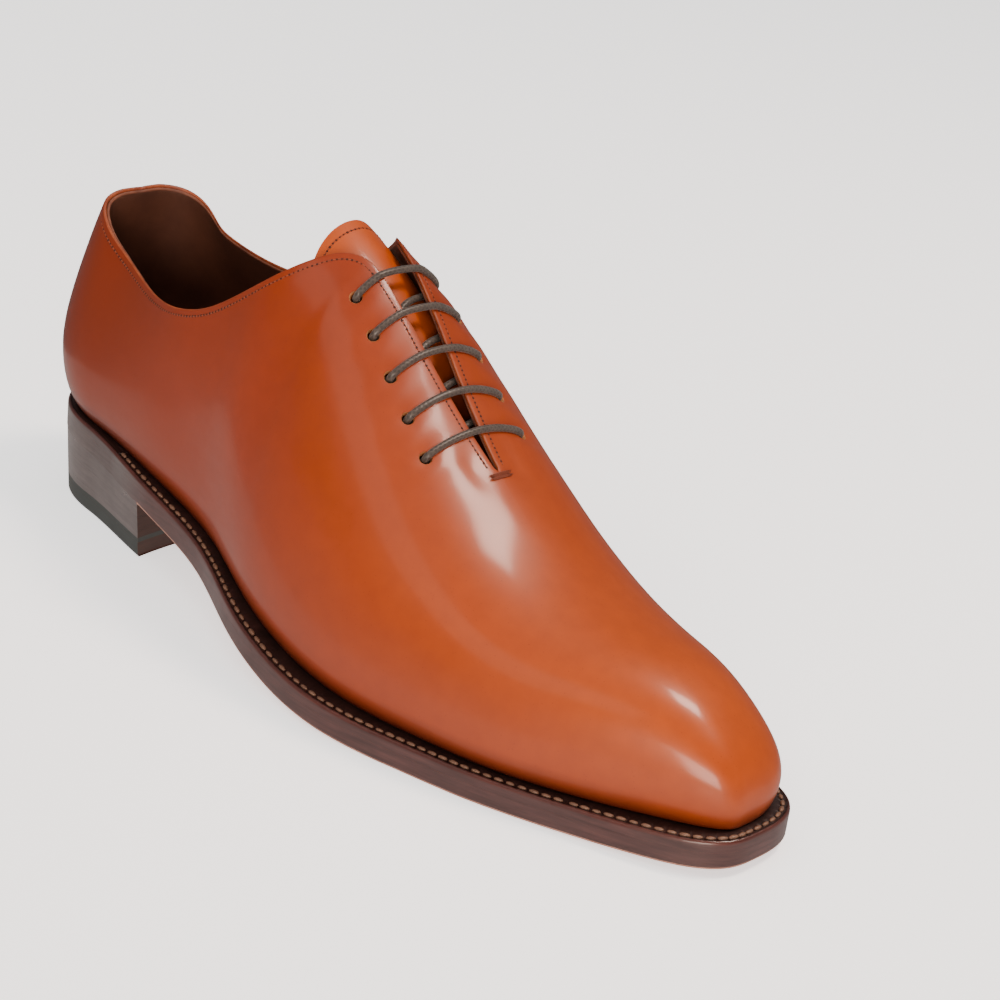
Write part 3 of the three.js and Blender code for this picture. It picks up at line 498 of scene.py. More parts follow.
class Shell:
    """Collects vertices, faces and a material number for each face."""

    def __init__(self):
        self.points, self.faces, self.looks, self.uvs = [], [], [], []
        self.count = 0
        self.has_uv = False

    def add(self, points):
        points = np.asarray(points, float)
        index = np.arange(points[..., 0].size).reshape(points.shape[:-1]) + self.count
        self.points.append(points.reshape(-1, 3))
        self.count += index.size
        return index

    def skin(self, index, turned=False, look=0, uv=None):
        def quads(grid):
            a, b, c, d = grid[:-1, :-1], grid[1:, :-1], grid[1:, 1:], grid[:-1, 1:]
            return np.stack([a, d, c, b] if turned else [a, b, c, d], 2).reshape(
                (-1, 4) + grid.shape[2:])
        self.faces.append(quads(index))
        looks = np.broadcast_to(np.asarray(look), index[:-1, :-1].shape)
        self.looks.append(looks.ravel())
        self.has_uv = self.has_uv or uv is not None
        self.uvs.append(quads(np.zeros(index.shape + (2,)) if uv is None else uv))

    def grid(self, points, turned=False, look=0, uv=None):
        index = self.add(points)
        self.skin(index, turned, look, uv)
        return index

    def build(self, name, materials, sharp=None, weld=0.004):
        """An object whose doubled points are merged and whose faces point outwards."""
        quads = np.concatenate(self.faces)
        looks = np.concatenate(self.looks)
        points = to_frame(np.concatenate(self.points))
        key = np.round(points / (weld / 1000)).astype(np.int64)
        _, first, back = np.unique(key, axis=0, return_index=True, return_inverse=True)
        back = back.reshape(-1)
        quads = back[quads]
        faces, kept, corners = [], [], []
        coords = np.concatenate(self.uvs)
        for quad, look, uv in zip(quads.tolist(), looks.tolist(), coords):
            keep = [i for i, v in enumerate(quad) if v != quad[i - 1]]
            face = [quad[i] for i in keep]
            if len(set(face)) == len(face) >= 3:
                faces.append(face)
                kept.append(look)
                corners.append(uv[keep])
        mesh = bpy.data.meshes.new(name)
        mesh.from_pydata(points[first].tolist(), [], faces)
        mesh.update()
        for m in materials:
            mesh.materials.append(m)
        mesh.polygons.foreach_set("material_index", kept)
        mesh.polygons.foreach_set("use_smooth", [True] * len(faces))
        if self.has_uv:
            layer = mesh.uv_layers.new(name="UVMap")
            layer.data.foreach_set("uv", np.concatenate(corners).ravel())
        tidy = bmesh.new()
        tidy.from_mesh(mesh)
        bmesh.ops.recalc_face_normals(tidy, faces=tidy.faces)
        if tidy.calc_volume(signed=True) < 0:
            bmesh.ops.reverse_faces(tidy, faces=tidy.faces)
        tidy.to_mesh(mesh)
        tidy.free()
        if sharp is not None:
            mesh.set_sharp_from_angle(angle=math.radians(sharp))
        return add_object(name, mesh)


def add_object(name, data):
    obj = bpy.data.objects.new(name, data)
    bpy.context.scene.collection.objects.link(obj)
    return obj


def finish_piece(obj, slot, *nodes):
    """Tells the frame what the piece rides on and which nodes it replaces; the material slot is
    not used.
    """
    obj.name = obj.name.replace(" ", "_")
    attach(obj, "root")
    if nodes:
        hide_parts(*nodes)


# Stations along the upper, dense enough for the folds between the eyelets
TOE_Q = q_of_x(FEATHER_FRONT - TOE_CAP_LONG, FEATHER_BACK, FEATHER_FRONT)
UPPER_Q = np.concatenate([
    np.linspace(0, 1, 27),
    np.linspace(1, VAMP_Q, 150)[1:],
    np.linspace(VAMP_Q, TOE_Q, 56)[1:],
    TOE_Q + (2 - TOE_Q) * (1 - (1 - np.linspace(0, 1, 41)[1:]) ** 1.35),
])
OPEN_STATIONS = int(np.sum(UPPER_Q <= VAMP_Q + 1e-9))


def rib_values(side, foot, wall):
    """Parameters from the foot to the end of every rib, closer together near the top edge."""
    end = rib_end(UPPER_Q, side, 0.0)
    low = np.linspace(0, 1, foot + 1)[None, :] * UNDER
    u = np.linspace(0, 1, wall + 1)[1:]
    u = 1 - (1 - u) ** 1.12
    return np.concatenate([np.repeat(low, len(end), 0), UNDER + (end - UNDER) * u[None, :]], 1)


def skin_points(side, t, inset):
    """Points of one skin with the relief on it."""
    at = rib(UPPER_Q, side, inset)
    p = at(t)
    along = np.gradient(p, axis=0)
    across = np.gradient(p, axis=1)
    n = unit(np.cross(along, across)) * -side
    flat = np.linalg.norm(np.cross(along, across), axis=-1) < 1e-9
    n[flat] = (1, 0, 0)
    return p + n * relief(p)[..., None] * wall_share(p)[..., None]


def wall_share(p):
    """The relief fades out at the foot, where the calf is pulled tight over the insole's edge."""
    return smooth((p[..., 2] - foot_z(p[..., 0])) / RELIEF_FADE)


# Materials

def srgb(code):
    """Linear colour of an sRGB hex value."""
    parts = [int(code[i:i + 2], 16) / 255 for i in (1, 3, 5)]
    return tuple(c / 12.92 if c <= 0.04045 else ((c + 0.055) / 1.055) ** 2.4 for c in parts) + (1,)


def feed(made, **inputs):
    """Sets inputs of a node by label, or by number as _0, and links those given as sockets."""
    for key, value in inputs.items():
        socket = made.inputs[int(key[1:]) if key[0] == "_" else key.replace("_", " ")]
        if isinstance(value, bpy.types.NodeSocket):
            made.id_data.links.new(value, socket)
        else:
            socket.default_value = value


def node(tree, kind, settings=None, **inputs):
    """Adds one node with its settings, values and links."""
    made = tree.nodes.new(kind)
    for key, value in (settings or {}).items():
        setattr(made, key, value)
    feed(made, **inputs)
    return made


def material(name):
    """A material with its tree, its shader and positions in metres."""
    made = bpy.data.materials.new(name)
    made.use_nodes = True
    tree = made.node_tree
    where = node(tree, "ShaderNodeTexCoord").outputs["Object"]
    return made, tree, tree.nodes["Principled BSDF"], where


def cloudy(tree, where, period_mm, detail=3, rough=0.55, stretch=(1, 1, 1), levels=None):
    """A cloudy pattern of a real period; levels spread it from a low and a high to two values."""
    scaled = node(tree, "ShaderNodeMapping", Vector=where, Scale=stretch).outputs[0]
    value = node(tree, "ShaderNodeTexNoise", Vector=scaled, Scale=1000 / period_mm,
                 Detail=detail, Roughness=rough).outputs["Fac"]
    if levels:
        low, high, start, stop = levels
        value = node(tree, "ShaderNodeMapRange", Value=value, From_Min=low, From_Max=high,
                     To_Min=start, To_Max=stop).outputs[0]
    return value


def dyed(tree, colour, *layers):
    """A base colour and others laid over it, each with the share of the surface it covers."""
    for share, over in layers:
        colour = node(tree, "ShaderNodeMix", {"data_type": "RGBA"}, _0=share, _6=colour,
                      _7=over).outputs[2]
    return colour


def embossed(tree, *layers):
    """Fine relief in layers, each a height, a depth in mm and a strength."""
    normal = None
    for height, depth_mm, strength in layers:
        below = {} if normal is None else {"Normal": normal}
        normal = node(tree, "ShaderNodeBump", Height=height, Strength=strength,
                      Distance=depth_mm / 1000, **below).outputs[0]
    return normal


def polished_calf(name, deep, mid, light, start=-0.02, stop=0.135, foot=False):
    """Box calf, aniline dyed and brush polished: clear wax over a fine grain, warm uneven dye.
    With foot set, it also takes painted shade low over the welt.
    """
    made, tree, shader, where = material(name)
    deep, mid, light = tuple(deep), tuple(mid), tuple(light)
    split = node(tree, "ShaderNodeSeparateXYZ", Vector=where)
    along = split.outputs[0]
    front = node(tree, "ShaderNodeMapRange", Value=along, From_Min=-0.15, From_Max=-0.03)
    toe = node(tree, "ShaderNodeMapRange", Value=along, From_Min=start, From_Max=stop, To_Max=0.9)
    # Pores are 0.2 mm specks about two millimetres apart
    pores = node(tree, "ShaderNodeTexVoronoi", Vector=where, Scale=1000 / 1.9, Randomness=1)
    speck = node(tree, "ShaderNodeMapRange", Value=pores.outputs["Distance"], From_Min=0.06,
                 From_Max=0.12, To_Min=0.35, To_Max=0)
    colour = dyed(tree, deep, (front.outputs[0], mid),
                  (cloudy(tree, where, 42, 3, 0.5, levels=(0.36, 0.66, 0.25, 0)), deep),
                  (toe.outputs[0], light),
                  (cloudy(tree, where, 5.5, 4, 0.6, levels=(0.3, 0.75, 0, 0.2)), deep),
                  (speck.outputs[0], srgb("#5A220C")))
    if foot:
        # Painted shade: the calf darkens towards the deep colour over its lowest 40 mm, and near
        # black in the crease over the welt; the foot's line falls from heel to ball
        fall = node(tree, "ShaderNodeMapRange", {"interpolation_type": "SMOOTHSTEP"},
                    Value=along, From_Min=to_frame((0, 0, 0))[0],
                    From_Max=to_frame((0.68 * LENGTH, 0, 0))[0],
                    To_Min=float(foot_z(0.0)) / 1000, To_Max=float(foot_z(0.7 * LENGTH)) / 1000)
        height = node(tree, "ShaderNodeMath", {"operation": "SUBTRACT"},
                      _0=split.outputs[2], _1=fall.outputs[0]).outputs[0]
        for depth, share, over in ((0.04, 0.6, deep), (0.008, 0.85, srgb("#2E0D04"))):
            low = node(tree, "ShaderNodeMapRange", Value=height, From_Max=depth, To_Min=share,
                       To_Max=0)
            colour = dyed(tree, colour, (low.outputs[0], over))
    # Real grain is near 0.25 mm; it is drawn at 0.7 mm so that it shows in the render
    relief_of = embossed(tree, (cloudy(tree, where, 9, 2), 0.12, 0.35),
                         (cloudy(tree, where, 0.7, 3, 0.6), 0.03, 0.22))
    smear = cloudy(tree, where, 26, 4, 0.65, (0.5, 1, 1), (0.3, 0.7, 0.36, 0.5))
    feed(shader, Base_Color=colour, Roughness=smear, IOR=1.4, Coat_Weight=0.42,
         Coat_Roughness=0.15, Coat_IOR=1.46, Normal=relief_of)
    return made


def plain_leather(name, dark, light, rough, period=14, grain=0.9, coat=0.0):
    """Leather without a wax shine, dyed through or raw: dull, mottled, with a soft nap."""
    made, tree, shader, where = material(name)
    mottle = cloudy(tree, where, period, 5, 0.6, levels=(0.3, 0.7, 0, 1))
    nap = embossed(tree, (cloudy(tree, where, grain, 3, 0.6), 0.05, 0.5))
    feed(shader, Base_Color=dyed(tree, srgb(dark), (mottle, srgb(light))), Roughness=rough,
         IOR=1.48, Coat_Weight=coat, Coat_Roughness=0.3, Normal=nap)
    return made


def waxed_edge(name, dark, light, rough=0.36, heel=None):
    """Cut leather edge, sanded, dyed and hot waxed: level fibres lie along it under a satin wax.

    A pair of heel colours takes over behind the breast, where the stack's ink runs up the edge;
    like the stack's own, they are lightened, partly as a painted reflection of the floor.
    """
    made, tree, shader, where = material(name)
    lie = (0.35, 0.35, 5)
    fibre = cloudy(tree, where, 6, 4, 0.7, lie, (0.3, 0.7, 0, 1))
    colour = dyed(tree, srgb(dark), (fibre, srgb(light)))
    if heel:
        along = node(tree, "ShaderNodeSeparateXYZ", Vector=where).outputs[0]
        breast = to_frame((HEEL_BREAST, 0, 0))[0]
        ahead = node(tree, "ShaderNodeMapRange", Value=along, From_Min=breast - 0.012,
                     From_Max=breast + 0.006)
        inked = dyed(tree, srgb(heel[0]), (fibre, srgb(heel[1])))
        colour = dyed(tree, inked, (ahead.outputs[0], colour))
    cloud = cloudy(tree, where, 16, 3, 0.6, levels=(0.35, 0.7, 0, 0.35))
    worn = cloudy(tree, where, 16, 3, 0.6, levels=(0.3, 0.7, rough - 0.06, rough + 0.1))
    feed(shader, Base_Color=dyed(tree, colour, (cloud, srgb(dark))), Roughness=worn, IOR=1.5,
         Coat_Weight=0.25, Coat_Roughness=0.25,
         Normal=embossed(tree, (cloudy(tree, where, 6, 4, 0.7, lie), 0.05, 0.4)))
    return made


def sole_bottom_leather(name):
    """Oak-bark sole bend, stained brown and polished by hand: satin, cloudy, with faint scours."""
    made, tree, shader, where = material(name)
    along = (0.25, 2.2, 1)
    stain = cloudy(tree, where, 55, 4, 0.6, levels=(0.32, 0.68, 0, 1))
    scour = cloudy(tree, where, 7, 3, 0.6, along, (0.45, 0.8, 0, 0.25))
    feed(shader, Base_Color=dyed(tree, srgb("#7C4330"), (stain, srgb("#9A5A42")),
                                 (scour, srgb("#6A3626"))),
         Roughness=cloudy(tree, where, 7, 3, 0.6, along, (0.3, 0.7, 0.36, 0.5)), IOR=1.5,
         Normal=embossed(tree, (cloudy(tree, where, 1.1, 3), 0.04, 0.3)))
    return made


def moulded_rubber(name):
    """Moulded heel rubber: near black, dry and even."""
    made, tree, shader, where = material(name)
    colour = dyed(tree, srgb("#242826"), (cloudy(tree, where, 8, 4), srgb("#343937")))
    feed(shader, Base_Color=colour, Roughness=0.6, IOR=1.52,
         Normal=embossed(tree, (cloudy(tree, where, 0.9, 2), 0.03, 0.4)))
    return made


def waxed_cotton(name, dark, light):
    """Round braided cotton lace with a wax finish: dull, with a fine diagonal plait."""
    made, tree, shader, where = material(name)
    uv = node(tree, "ShaderNodeTexCoord").outputs["UV"]
    strands = []
    for turn in (-1, 1):
        # One plait repeats every 1.6 mm of lace; u counts millimetres and v turns round it
        wave = node(tree, "ShaderNodeMapping", Vector=uv, Scale=(1 / 1.6, turn * 4, 1))
        split = node(tree, "ShaderNodeSeparateXYZ", Vector=wave.outputs[0])
        value = split.outputs[0]
        for operation, other in (("ADD", split.outputs[1]), ("MULTIPLY", 2 * math.pi),
                                 ("SINE", 0.0)):
            value = node(tree, "ShaderNodeMath", {"operation": operation}, _0=value,
                         _1=other).outputs[0]
        strands.append(value)
    plait = node(tree, "ShaderNodeMath", {"operation": "MAXIMUM"},
                 _0=strands[0], _1=strands[1]).outputs[0]
    bright = node(tree, "ShaderNodeMapRange", Value=plait, From_Min=-0.2, To_Min=0.35)
    worn = cloudy(tree, where, 3, 4, levels=(0.3, 0.7, 0.5, 1))
    share = node(tree, "ShaderNodeMath", {"operation": "MULTIPLY"}, _0=bright.outputs[0],
                 _1=worn)
    feed(shader, Base_Color=dyed(tree, srgb(dark), (share.outputs[0], srgb(light))),
         Roughness=0.36, IOR=1.45, Sheen_Weight=0.1, Normal=embossed(tree, (plait, 0.08, 0.35)))
    return made


def spun_thread(name, dark, light, rough=0.6):
    """Twisted linen or polyester thread: matt, with light and dark turns."""
    made, tree, shader, where = material(name)
    colour = dyed(tree, srgb(dark), (cloudy(tree, where, 1.2, 2), srgb(light)))
    feed(shader, Base_Color=colour, Roughness=rough)
    return made


def brass(name):
    """Drawn brass pin, ground flush with the sole: pale gold, finely scratched."""
    made, tree, shader, where = material(name)
    feed(shader, Base_Color=srgb("#C9A25F"), Metallic=1.0, Roughness=0.34,
         Normal=embossed(tree, (cloudy(tree, where, 0.5, 2), 0.02, 0.4)))
    return made


# The maker of each finish, the material's name and what the maker takes
FINISHES = {
    "cut edge": (plain_leather, "Dyed cut calf edge", "#6E2C14", "#944620", 0.5, 6),
    "raw edge": (plain_leather, "Raw cut calf", "#8E5530", "#AE7044", 0.75, 3, 0.6),
    "lining edge": (plain_leather, "Cut lining edge", "#52281A", "#7A4630", 0.65, 6),
    "lining": (plain_leather, "Glove lining leather", "#4A2A1E", "#5E3828", 0.62, 20),
    "sock": (plain_leather, "Insole leather", "#5A3526", "#734833", 0.6, 25),
    "welt top": (plain_leather, "Dyed welt leather", "#1A0D0B", "#2E1916", 0.5, 5, 0.7, 0.2),
    "edge": (waxed_edge, "Waxed sole edge", "#35201E", "#4E302D", 0.36, ("#3C3433", "#544A48")),
    # The waxed bead is coloured redder than the edge: its own colour, partly a painted highlight
    # along its crest
    "welt bead": (waxed_edge, "Waxed welt bead", "#3A1B17", "#522A23", 0.34),
    # A real bare strip of sole leather, coloured lighter and pinker as a painted highlight on the
    # bottom corner
    "natural line": (plain_leather, "Bare sole leather line", "#7E5444", "#A07462", 0.5, 8),
    "sole": (sole_bottom_leather, "Stained sole leather"),
    # The stack's inked colour is lightened, partly a painted reflection of the floor
    "stack": (waxed_edge, "Waxed heel stack", "#3C3433", "#544A48", 0.3),
    "breast": (waxed_edge, "Heel breast leather", "#25110A", "#3A2015", 0.5),
    "top piece": (plain_leather, "Top piece leather", "#4A261A", "#643828", 0.48, 18),
    "rubber": (moulded_rubber, "Heel rubber"),
    "lace": (waxed_cotton, "Waxed cotton lace", "#2C2622", "#524841"),
    "thread": (spun_thread, "Tan sewing thread", "#6E2C14", "#8A4222"),
    "welt thread": (spun_thread, "Welt thread", "#563A2E", "#80604C", 0.5),
    # A needle hole is drawn as a dull dark patch beside its thread, painted shade in the hole
    "needle hole": (spun_thread, "Needle hole", "#2A0F08", "#3A170D", 0.8),
    "bar thread": (spun_thread, "Bar tack thread", "#5A2414", "#7C3A20", 0.55),
    "brass": (brass, "Brass pin"),
    # The blackened pins are as dull and dark as thread, and too small to show a metal's shine
    "steel": (spun_thread, "Blackened pin", "#3A2A22", "#4A362C", 0.4),
}
MADE = {}


def finish(name):
    """Materials are made once and shared by the pieces."""
    look = bpy.context.scene.oxford
    if name not in MADE and name == "calf":
        # The upper's calf takes painted shade low over the welt
        MADE[name] = polished_calf("Polished tan calf", look.calf_deep, look.calf,
                                   look.calf_light, foot=True)
    elif name not in MADE and name == "tongue calf":
        # On the tongue the toe colour is near black: painted shade over the part that lies under
        # the facings
        MADE[name] = polished_calf("Polished tongue calf", look.calf, look.calf_light,
                                   srgb("#1E0C06"), -0.002, 0.022)
    elif name not in MADE:
        maker, *given = FINISHES[name]
        MADE[name] = maker(*given)
    return MADE[name]


def finishes(*names):
    return [finish(name) for name in names]


# Repeats by Geometry Nodes

def scatter_tree(name, segments, rings):
    """Small rounded solids on points, turned to the point's "along" and "up" vectors."""
    tree = bpy.data.node_groups.new(name, "GeometryNodeTree")
    face = tree.interface
    face.new_socket("Geometry", in_out="INPUT", socket_type="NodeSocketGeometry")
    for label, value in (("Length", 0.001), ("Width", 0.0004), ("Height", 0.0004),
                         ("Unevenness", 0.08)):
        made = face.new_socket(label, in_out="INPUT", socket_type="NodeSocketFloat")
        made.default_value = value
    face.new_socket("Finish", in_out="INPUT", socket_type="NodeSocketMaterial")
    face.new_socket("Geometry", in_out="OUTPUT", socket_type="NodeSocketGeometry")
    given = node(tree, "NodeGroupInput")
    size = node(tree, "ShaderNodeCombineXYZ", X=given.outputs["Length"],
                Y=given.outputs["Width"], Z=given.outputs["Height"])
    ball = node(tree, "GeometryNodeMeshUVSphere", Segments=segments, Rings=rings, Radius=0.5)
    round_ball = node(tree, "GeometryNodeSetShadeSmooth", Geometry=ball.outputs["Mesh"])
    shaped = node(tree, "GeometryNodeTransform", Geometry=round_ball.outputs[0],
                  Scale=size.outputs[0])
    vectors = {}
    for key in ("along", "up"):
        read = node(tree, "GeometryNodeInputNamedAttribute", {"data_type": "FLOAT_VECTOR"},
                    Name=key)
        vectors[key] = read.outputs["Attribute"]
    turn = node(tree, "FunctionNodeAxesToRotation", {"primary_axis": "Z", "secondary_axis": "X"},
                _0=vectors["up"], _1=vectors["along"])
    low, high = (node(tree, "ShaderNodeMath", {"operation": operation}, _0=1.0,
                      _1=given.outputs["Unevenness"]).outputs[0]
                 for operation in ("SUBTRACT", "ADD"))
    random = node(tree, "FunctionNodeRandomValue", {"data_type": "FLOAT"}, _2=low, _3=high,
                  Seed=7)
    placed = node(tree, "GeometryNodeInstanceOnPoints", Points=given.outputs["Geometry"],
                  Instance=shaped.outputs[0], Rotation=turn.outputs[0],
                  Scale=random.outputs[1])
    real = node(tree, "GeometryNodeRealizeInstances", Geometry=placed.outputs[0])
    painted = node(tree, "GeometryNodeSetMaterial", Geometry=real.outputs[0],
                   Material=given.outputs["Finish"])
    node(tree, "NodeGroupOutput", _0=painted.outputs[0])
    return tree


def scatter(name, points, along, up, size_mm, look, uneven=0.08, segments=8, rings=5):
    """One joined mesh of small solids on the given points, in millimetres of the shoe."""
    cloud = bpy.data.meshes.new(name + " points")
    cloud.from_pydata(to_frame(points).tolist(), [], [])
    for key, vectors in (("along", along), ("up", up)):
        field = cloud.attributes.new(key, "FLOAT_VECTOR", "POINT")
        field.data.foreach_set("vector", np.asarray(vectors, float).ravel())
    holder = add_object(name + " points", cloud)
    tree = scatter_tree(name, segments, rings)
    values = {key: size / 1000 for key, size in zip(("Length", "Width", "Height"), size_mm)}
    values.update({"Unevenness": uneven, "Finish": finish(look)})
    modifier = holder.modifiers.new(name, "NODES")
    modifier.node_group = tree
    for item in tree.interface.items_tree:
        if item.in_out == "INPUT" and item.name in values:
            modifier[item.identifier] = values[item.name]
    graph = bpy.context.evaluated_depsgraph_get()
    mesh = bpy.data.meshes.new_from_object(holder.evaluated_get(graph))
    holder.modifiers.remove(modifier)
    bpy.data.objects.remove(holder)
    mesh.name = name
    if not mesh.polygons:
        raise RuntimeError(name + " came out empty")
    return add_object(name, mesh)


def paced(points, pitch, start=0.5, *fields):
    """Even steps along a polyline; gives the points, the directions and the fields there."""
    points = np.asarray(points, float)
    run = np.concatenate([[0], np.cumsum(np.linalg.norm(np.diff(points, axis=0), axis=1))])
    marks = np.arange(start * pitch, run[-1], pitch)

    def at(values, s):
        return np.stack([np.interp(s, run, values[:, i]) for i in range(values.shape[1])], -1)
    ahead = at(points, np.minimum(marks + 0.3, run[-1])) - at(points, np.maximum(marks - 0.3, 0))
    return (at(points, marks), unit(ahead)) + tuple(unit(at(f, marks)) for f in fields)


# Upper

def surface(q, t, side):
    """Points of the calf at one parameter on each rib."""
    return rib(q, side, 0.0)(np.asarray(t, float)[:, None])[:, 0]


def edge_row(side, inset, count=420):
    """A line on the calf at an even distance inside the top line and the facing."""
    q = np.linspace(0.0, VAMP_Q - 0.004, count)
    end = rib_end(q, side, 0.0)[:, 0]
    base = surface(q, end, side)
    step = 1e-3
    before = np.maximum(q - step, 0)
    by_q = (surface(q + step, end, side) - surface(before, end, side))
    by_q /= (q + step - before)[:, None]
    by_t = (surface(q, end, side) - surface(q, end - step, side)) / step
    normal = unit(np.cross(by_q, by_t)) * -side
    tangent = unit(np.gradient(base, axis=0))
    inward = unit(np.cross(normal, tangent))
    inward *= -np.sign(np.sum(inward * by_t, -1, keepdims=True))
    goal = inward * inset
    a, b = np.sum(by_q * by_q, -1), np.sum(by_q * by_t, -1)
    c = np.sum(by_t * by_t, -1)
    u, v = np.sum(by_q * goal, -1), np.sum(by_t * goal, -1)
    det = a * c - b * b
    q2 = np.maximum(q + (c * u - b * v) / det, 0)
    t2 = end + (a * v - b * u) / det
    line = surface(q2, t2, side)
    line += normal * relief(line)[:, None]
    return line, normal


# The needle hole finish is painted shade, used for the needle holes and for the groove of the top
# edge's seam
UPPER_FINISHES = ("calf", "cut edge", "lining edge", "needle hole", "raw edge", "lining")
CALF, CUT_EDGE, LINING_EDGE, SEAM, _, LINING = range(len(UPPER_FINISHES))
STRIP_FINISHES = ("edge", "welt top", "welt bead")
EDGE, STRIP_TOP, BEAD = range(len(STRIP_FINISHES))


def upper_skins():
    """Calf and lining, closed at the foot and along the cut top edge."""
    shell = Shell()
    for side in (-1, 1):
        t = rib_values(side, 8, 54)
        outer = skin_points(side, t, 0.0)
        inner = skin_points(side, t[:, ::2], WALL)
        shell.grid(outer, side > 0, CALF)
        shell.grid(inner, side < 0, LINING)
        shell.grid(np.stack([outer[:, 0], inner[:, 0]], 1), side > 0, LINING)
        # The top edge: a calf layer and a lining layer, each softly rounded, a seam between them
        # whose groove is coloured dark with the needle holes' painted shade
        share = np.array([0, .03, .1, .26, .42, .49, .52, .55, .58, .61, .68, .79, .9, .97, 1])
        calf = np.sqrt(np.clip(1 - ((share - 0.26) / 0.26) ** 2, 0, 1)) * 0.5
        lining = np.sqrt(np.clip(1 - ((share - 0.79) / 0.21) ** 2, 0, 1)) * 0.38
        swell_out = np.where(share < 0.525, calf, np.where(share > 0.575, lining, -0.3))
        swell_out[0] = swell_out[-1] = 0
        rim_out, rim_in = outer[:OPEN_STATIONS, -1], inner[:OPEN_STATIONS, -1]
        off = unit(outer[:OPEN_STATIONS, -1] - outer[:OPEN_STATIONS, -3])
        room = np.abs(rim_out[:, 1] - ridge_at(rim_out[:, 0]))
        narrow = smooth(room / 1.2)[:, None, None]
        rim = mix(rim_out[:, None], rim_in[:, None], share[None, :, None])
        rim = rim + off[:, None] * swell_out[None, :, None] * narrow
        looks = np.array([CUT_EDGE] * 6 + [SEAM] * 2 + [LINING_EDGE] * 6)
        shell.grid(rim, side < 0, looks[None, :].repeat(OPEN_STATIONS - 1, 0))
    return shell


def punch(hole):
    """Cutter for one eyelet: a pin with a small flare where it leaves the calf."""
    surface_at = float(relief(hole["at"][None])[0])
    reach, flare = PUNCH_REACH, EYELET_RADIUS + EYELET_BEVEL
    levels = ((-reach, EYELET_RADIUS), (surface_at - EYELET_BEVEL, EYELET_RADIUS),
              (surface_at + 0.05, flare), (reach, flare))
    side_axis = unit(np.cross(hole["out"], (1.0, 0.0, 0.0)))
    other = np.cross(hole["out"], side_axis)
    rings = []
    a = np.linspace(0, 2 * np.pi, 33)
    for level, r in levels:
        ring = hole["at"] + hole["out"] * level
        rings.append(ring + r * (np.cos(a)[:, None] * side_axis + np.sin(a)[:, None] * other))
    low, high = (np.repeat((hole["at"] + hole["out"] * k)[None], len(a), 0)
                 for k in (-reach, reach))
    return np.stack([low] + rings + [high], 0)


def build_upper():
    """The calf with its lining, and the ten eyelets punched out of it."""
    upper = upper_skins().build("upper calf", finishes(*UPPER_FINISHES), sharp=55)
    cutter = Shell()
    for hole in HOLES:
        cutter.grid(punch(hole))
    pins = cutter.build("eyelet pins", finishes("raw edge"))
    cut = upper.modifiers.new("eyelets", "BOOLEAN")
    cut.object = pins
    cut.operation = "DIFFERENCE"
    cut.solver = "EXACT"
    cut.material_mode = "TRANSFER"
    graph = bpy.context.evaluated_depsgraph_get()
    mesh = bpy.data.meshes.new_from_object(upper.evaluated_get(graph))
    upper.modifiers.remove(cut)
    bpy.data.objects.remove(pins)
    upper.data = mesh
    mesh.set_sharp_from_angle(angle=math.radians(50))
    finish_piece(upper, "calf", "upper")


# Tongue and lace

def tongue_point(x, v, extra):
    """The tongue's sheet: x along it, v from -1 to 1 across it, sunk by an extra depth."""
    x = np.asarray(x, float)
    cut = np.clip((TONGUE_TOP + TONGUE_ROUND - x) / TONGUE_ROUND, 0, 1)
    shape = np.clip(1 - cut ** TONGUE_CORNER_POWER, 0, 1) ** (1 / TONGUE_CORNER_POWER)
    free = np.maximum(0, TONGUE_BASE - x)
    lift = TONGUE_RISE * free - TONGUE_BEND * free * free
    taper = smooth((x - FACING_TOP) / (TONGUE_END - FACING_TOP))
    half = mix(TONGUE_HALF, TONGUE_HALF_END, taper) * shape
    side = -1 if v < 0 else 1
    p = on_upper(x + free, side, abs(v) * half, TONGUE_DEEP + extra)
    drawn = 1 - TONGUE_DRAW_IN[side] * free
    return np.stack([p[:, 0] - free, mix(ridge_at(x + free), p[:, 1], drawn), p[:, 2] + lift], -1)


def build_tongue():
    """A padded sheet with a rounded cut edge, closer rows at its free end."""
    rows = TONGUE_TOP + np.concatenate([
        TONGUE_ROUND * np.linspace(0, 1, 22) ** 2,
        np.linspace(TONGUE_ROUND, TONGUE_END - TONGUE_TOP, 90)[1:]])
    across = np.sin(np.linspace(-1, 1, 49) * np.pi / 2)
    top = np.stack([tongue_point(rows, v, 0.0) for v in across], 1)
    under = np.stack([tongue_point(rows, v, TONGUE_THICK) for v in across], 1)
    shell = Shell()
    shell.grid(top, False, 0)
    shell.grid(under, True, 1)
    share = np.linspace(0, 1, 9)
    swell_out = np.sqrt(np.clip(1 - (share * 2 - 1) ** 2, 0, 1)) * 0.4
    swell_out = swell_out[None, :, None] * smooth((rows - TONGUE_TOP) / 1.5)[:, None, None]
    # The long edges swell a little between the calf and the lining, the short ones are plain
    for a, b, inner, turned in ((top[:, 0], under[:, 0], top[:, 2], False),
                                (top[:, -1], under[:, -1], top[:, -3], True),
                                (top[0], under[0], None, True),
                                (top[-1], under[-1], None, False)):
        rim = mix(a[:, None], b[:, None], share[None, :, None])
        if inner is not None:
            rim = rim + unit(a - inner)[:, None] * swell_out
        shell.grid(rim, turned, 2)
    # The tongue's calf carries painted shade where it lies under the facings
    tongue = shell.build("tongue calf", finishes("tongue calf", "lining", "cut edge"), sharp=60)
    finish_piece(tongue, "calf", "tongue")


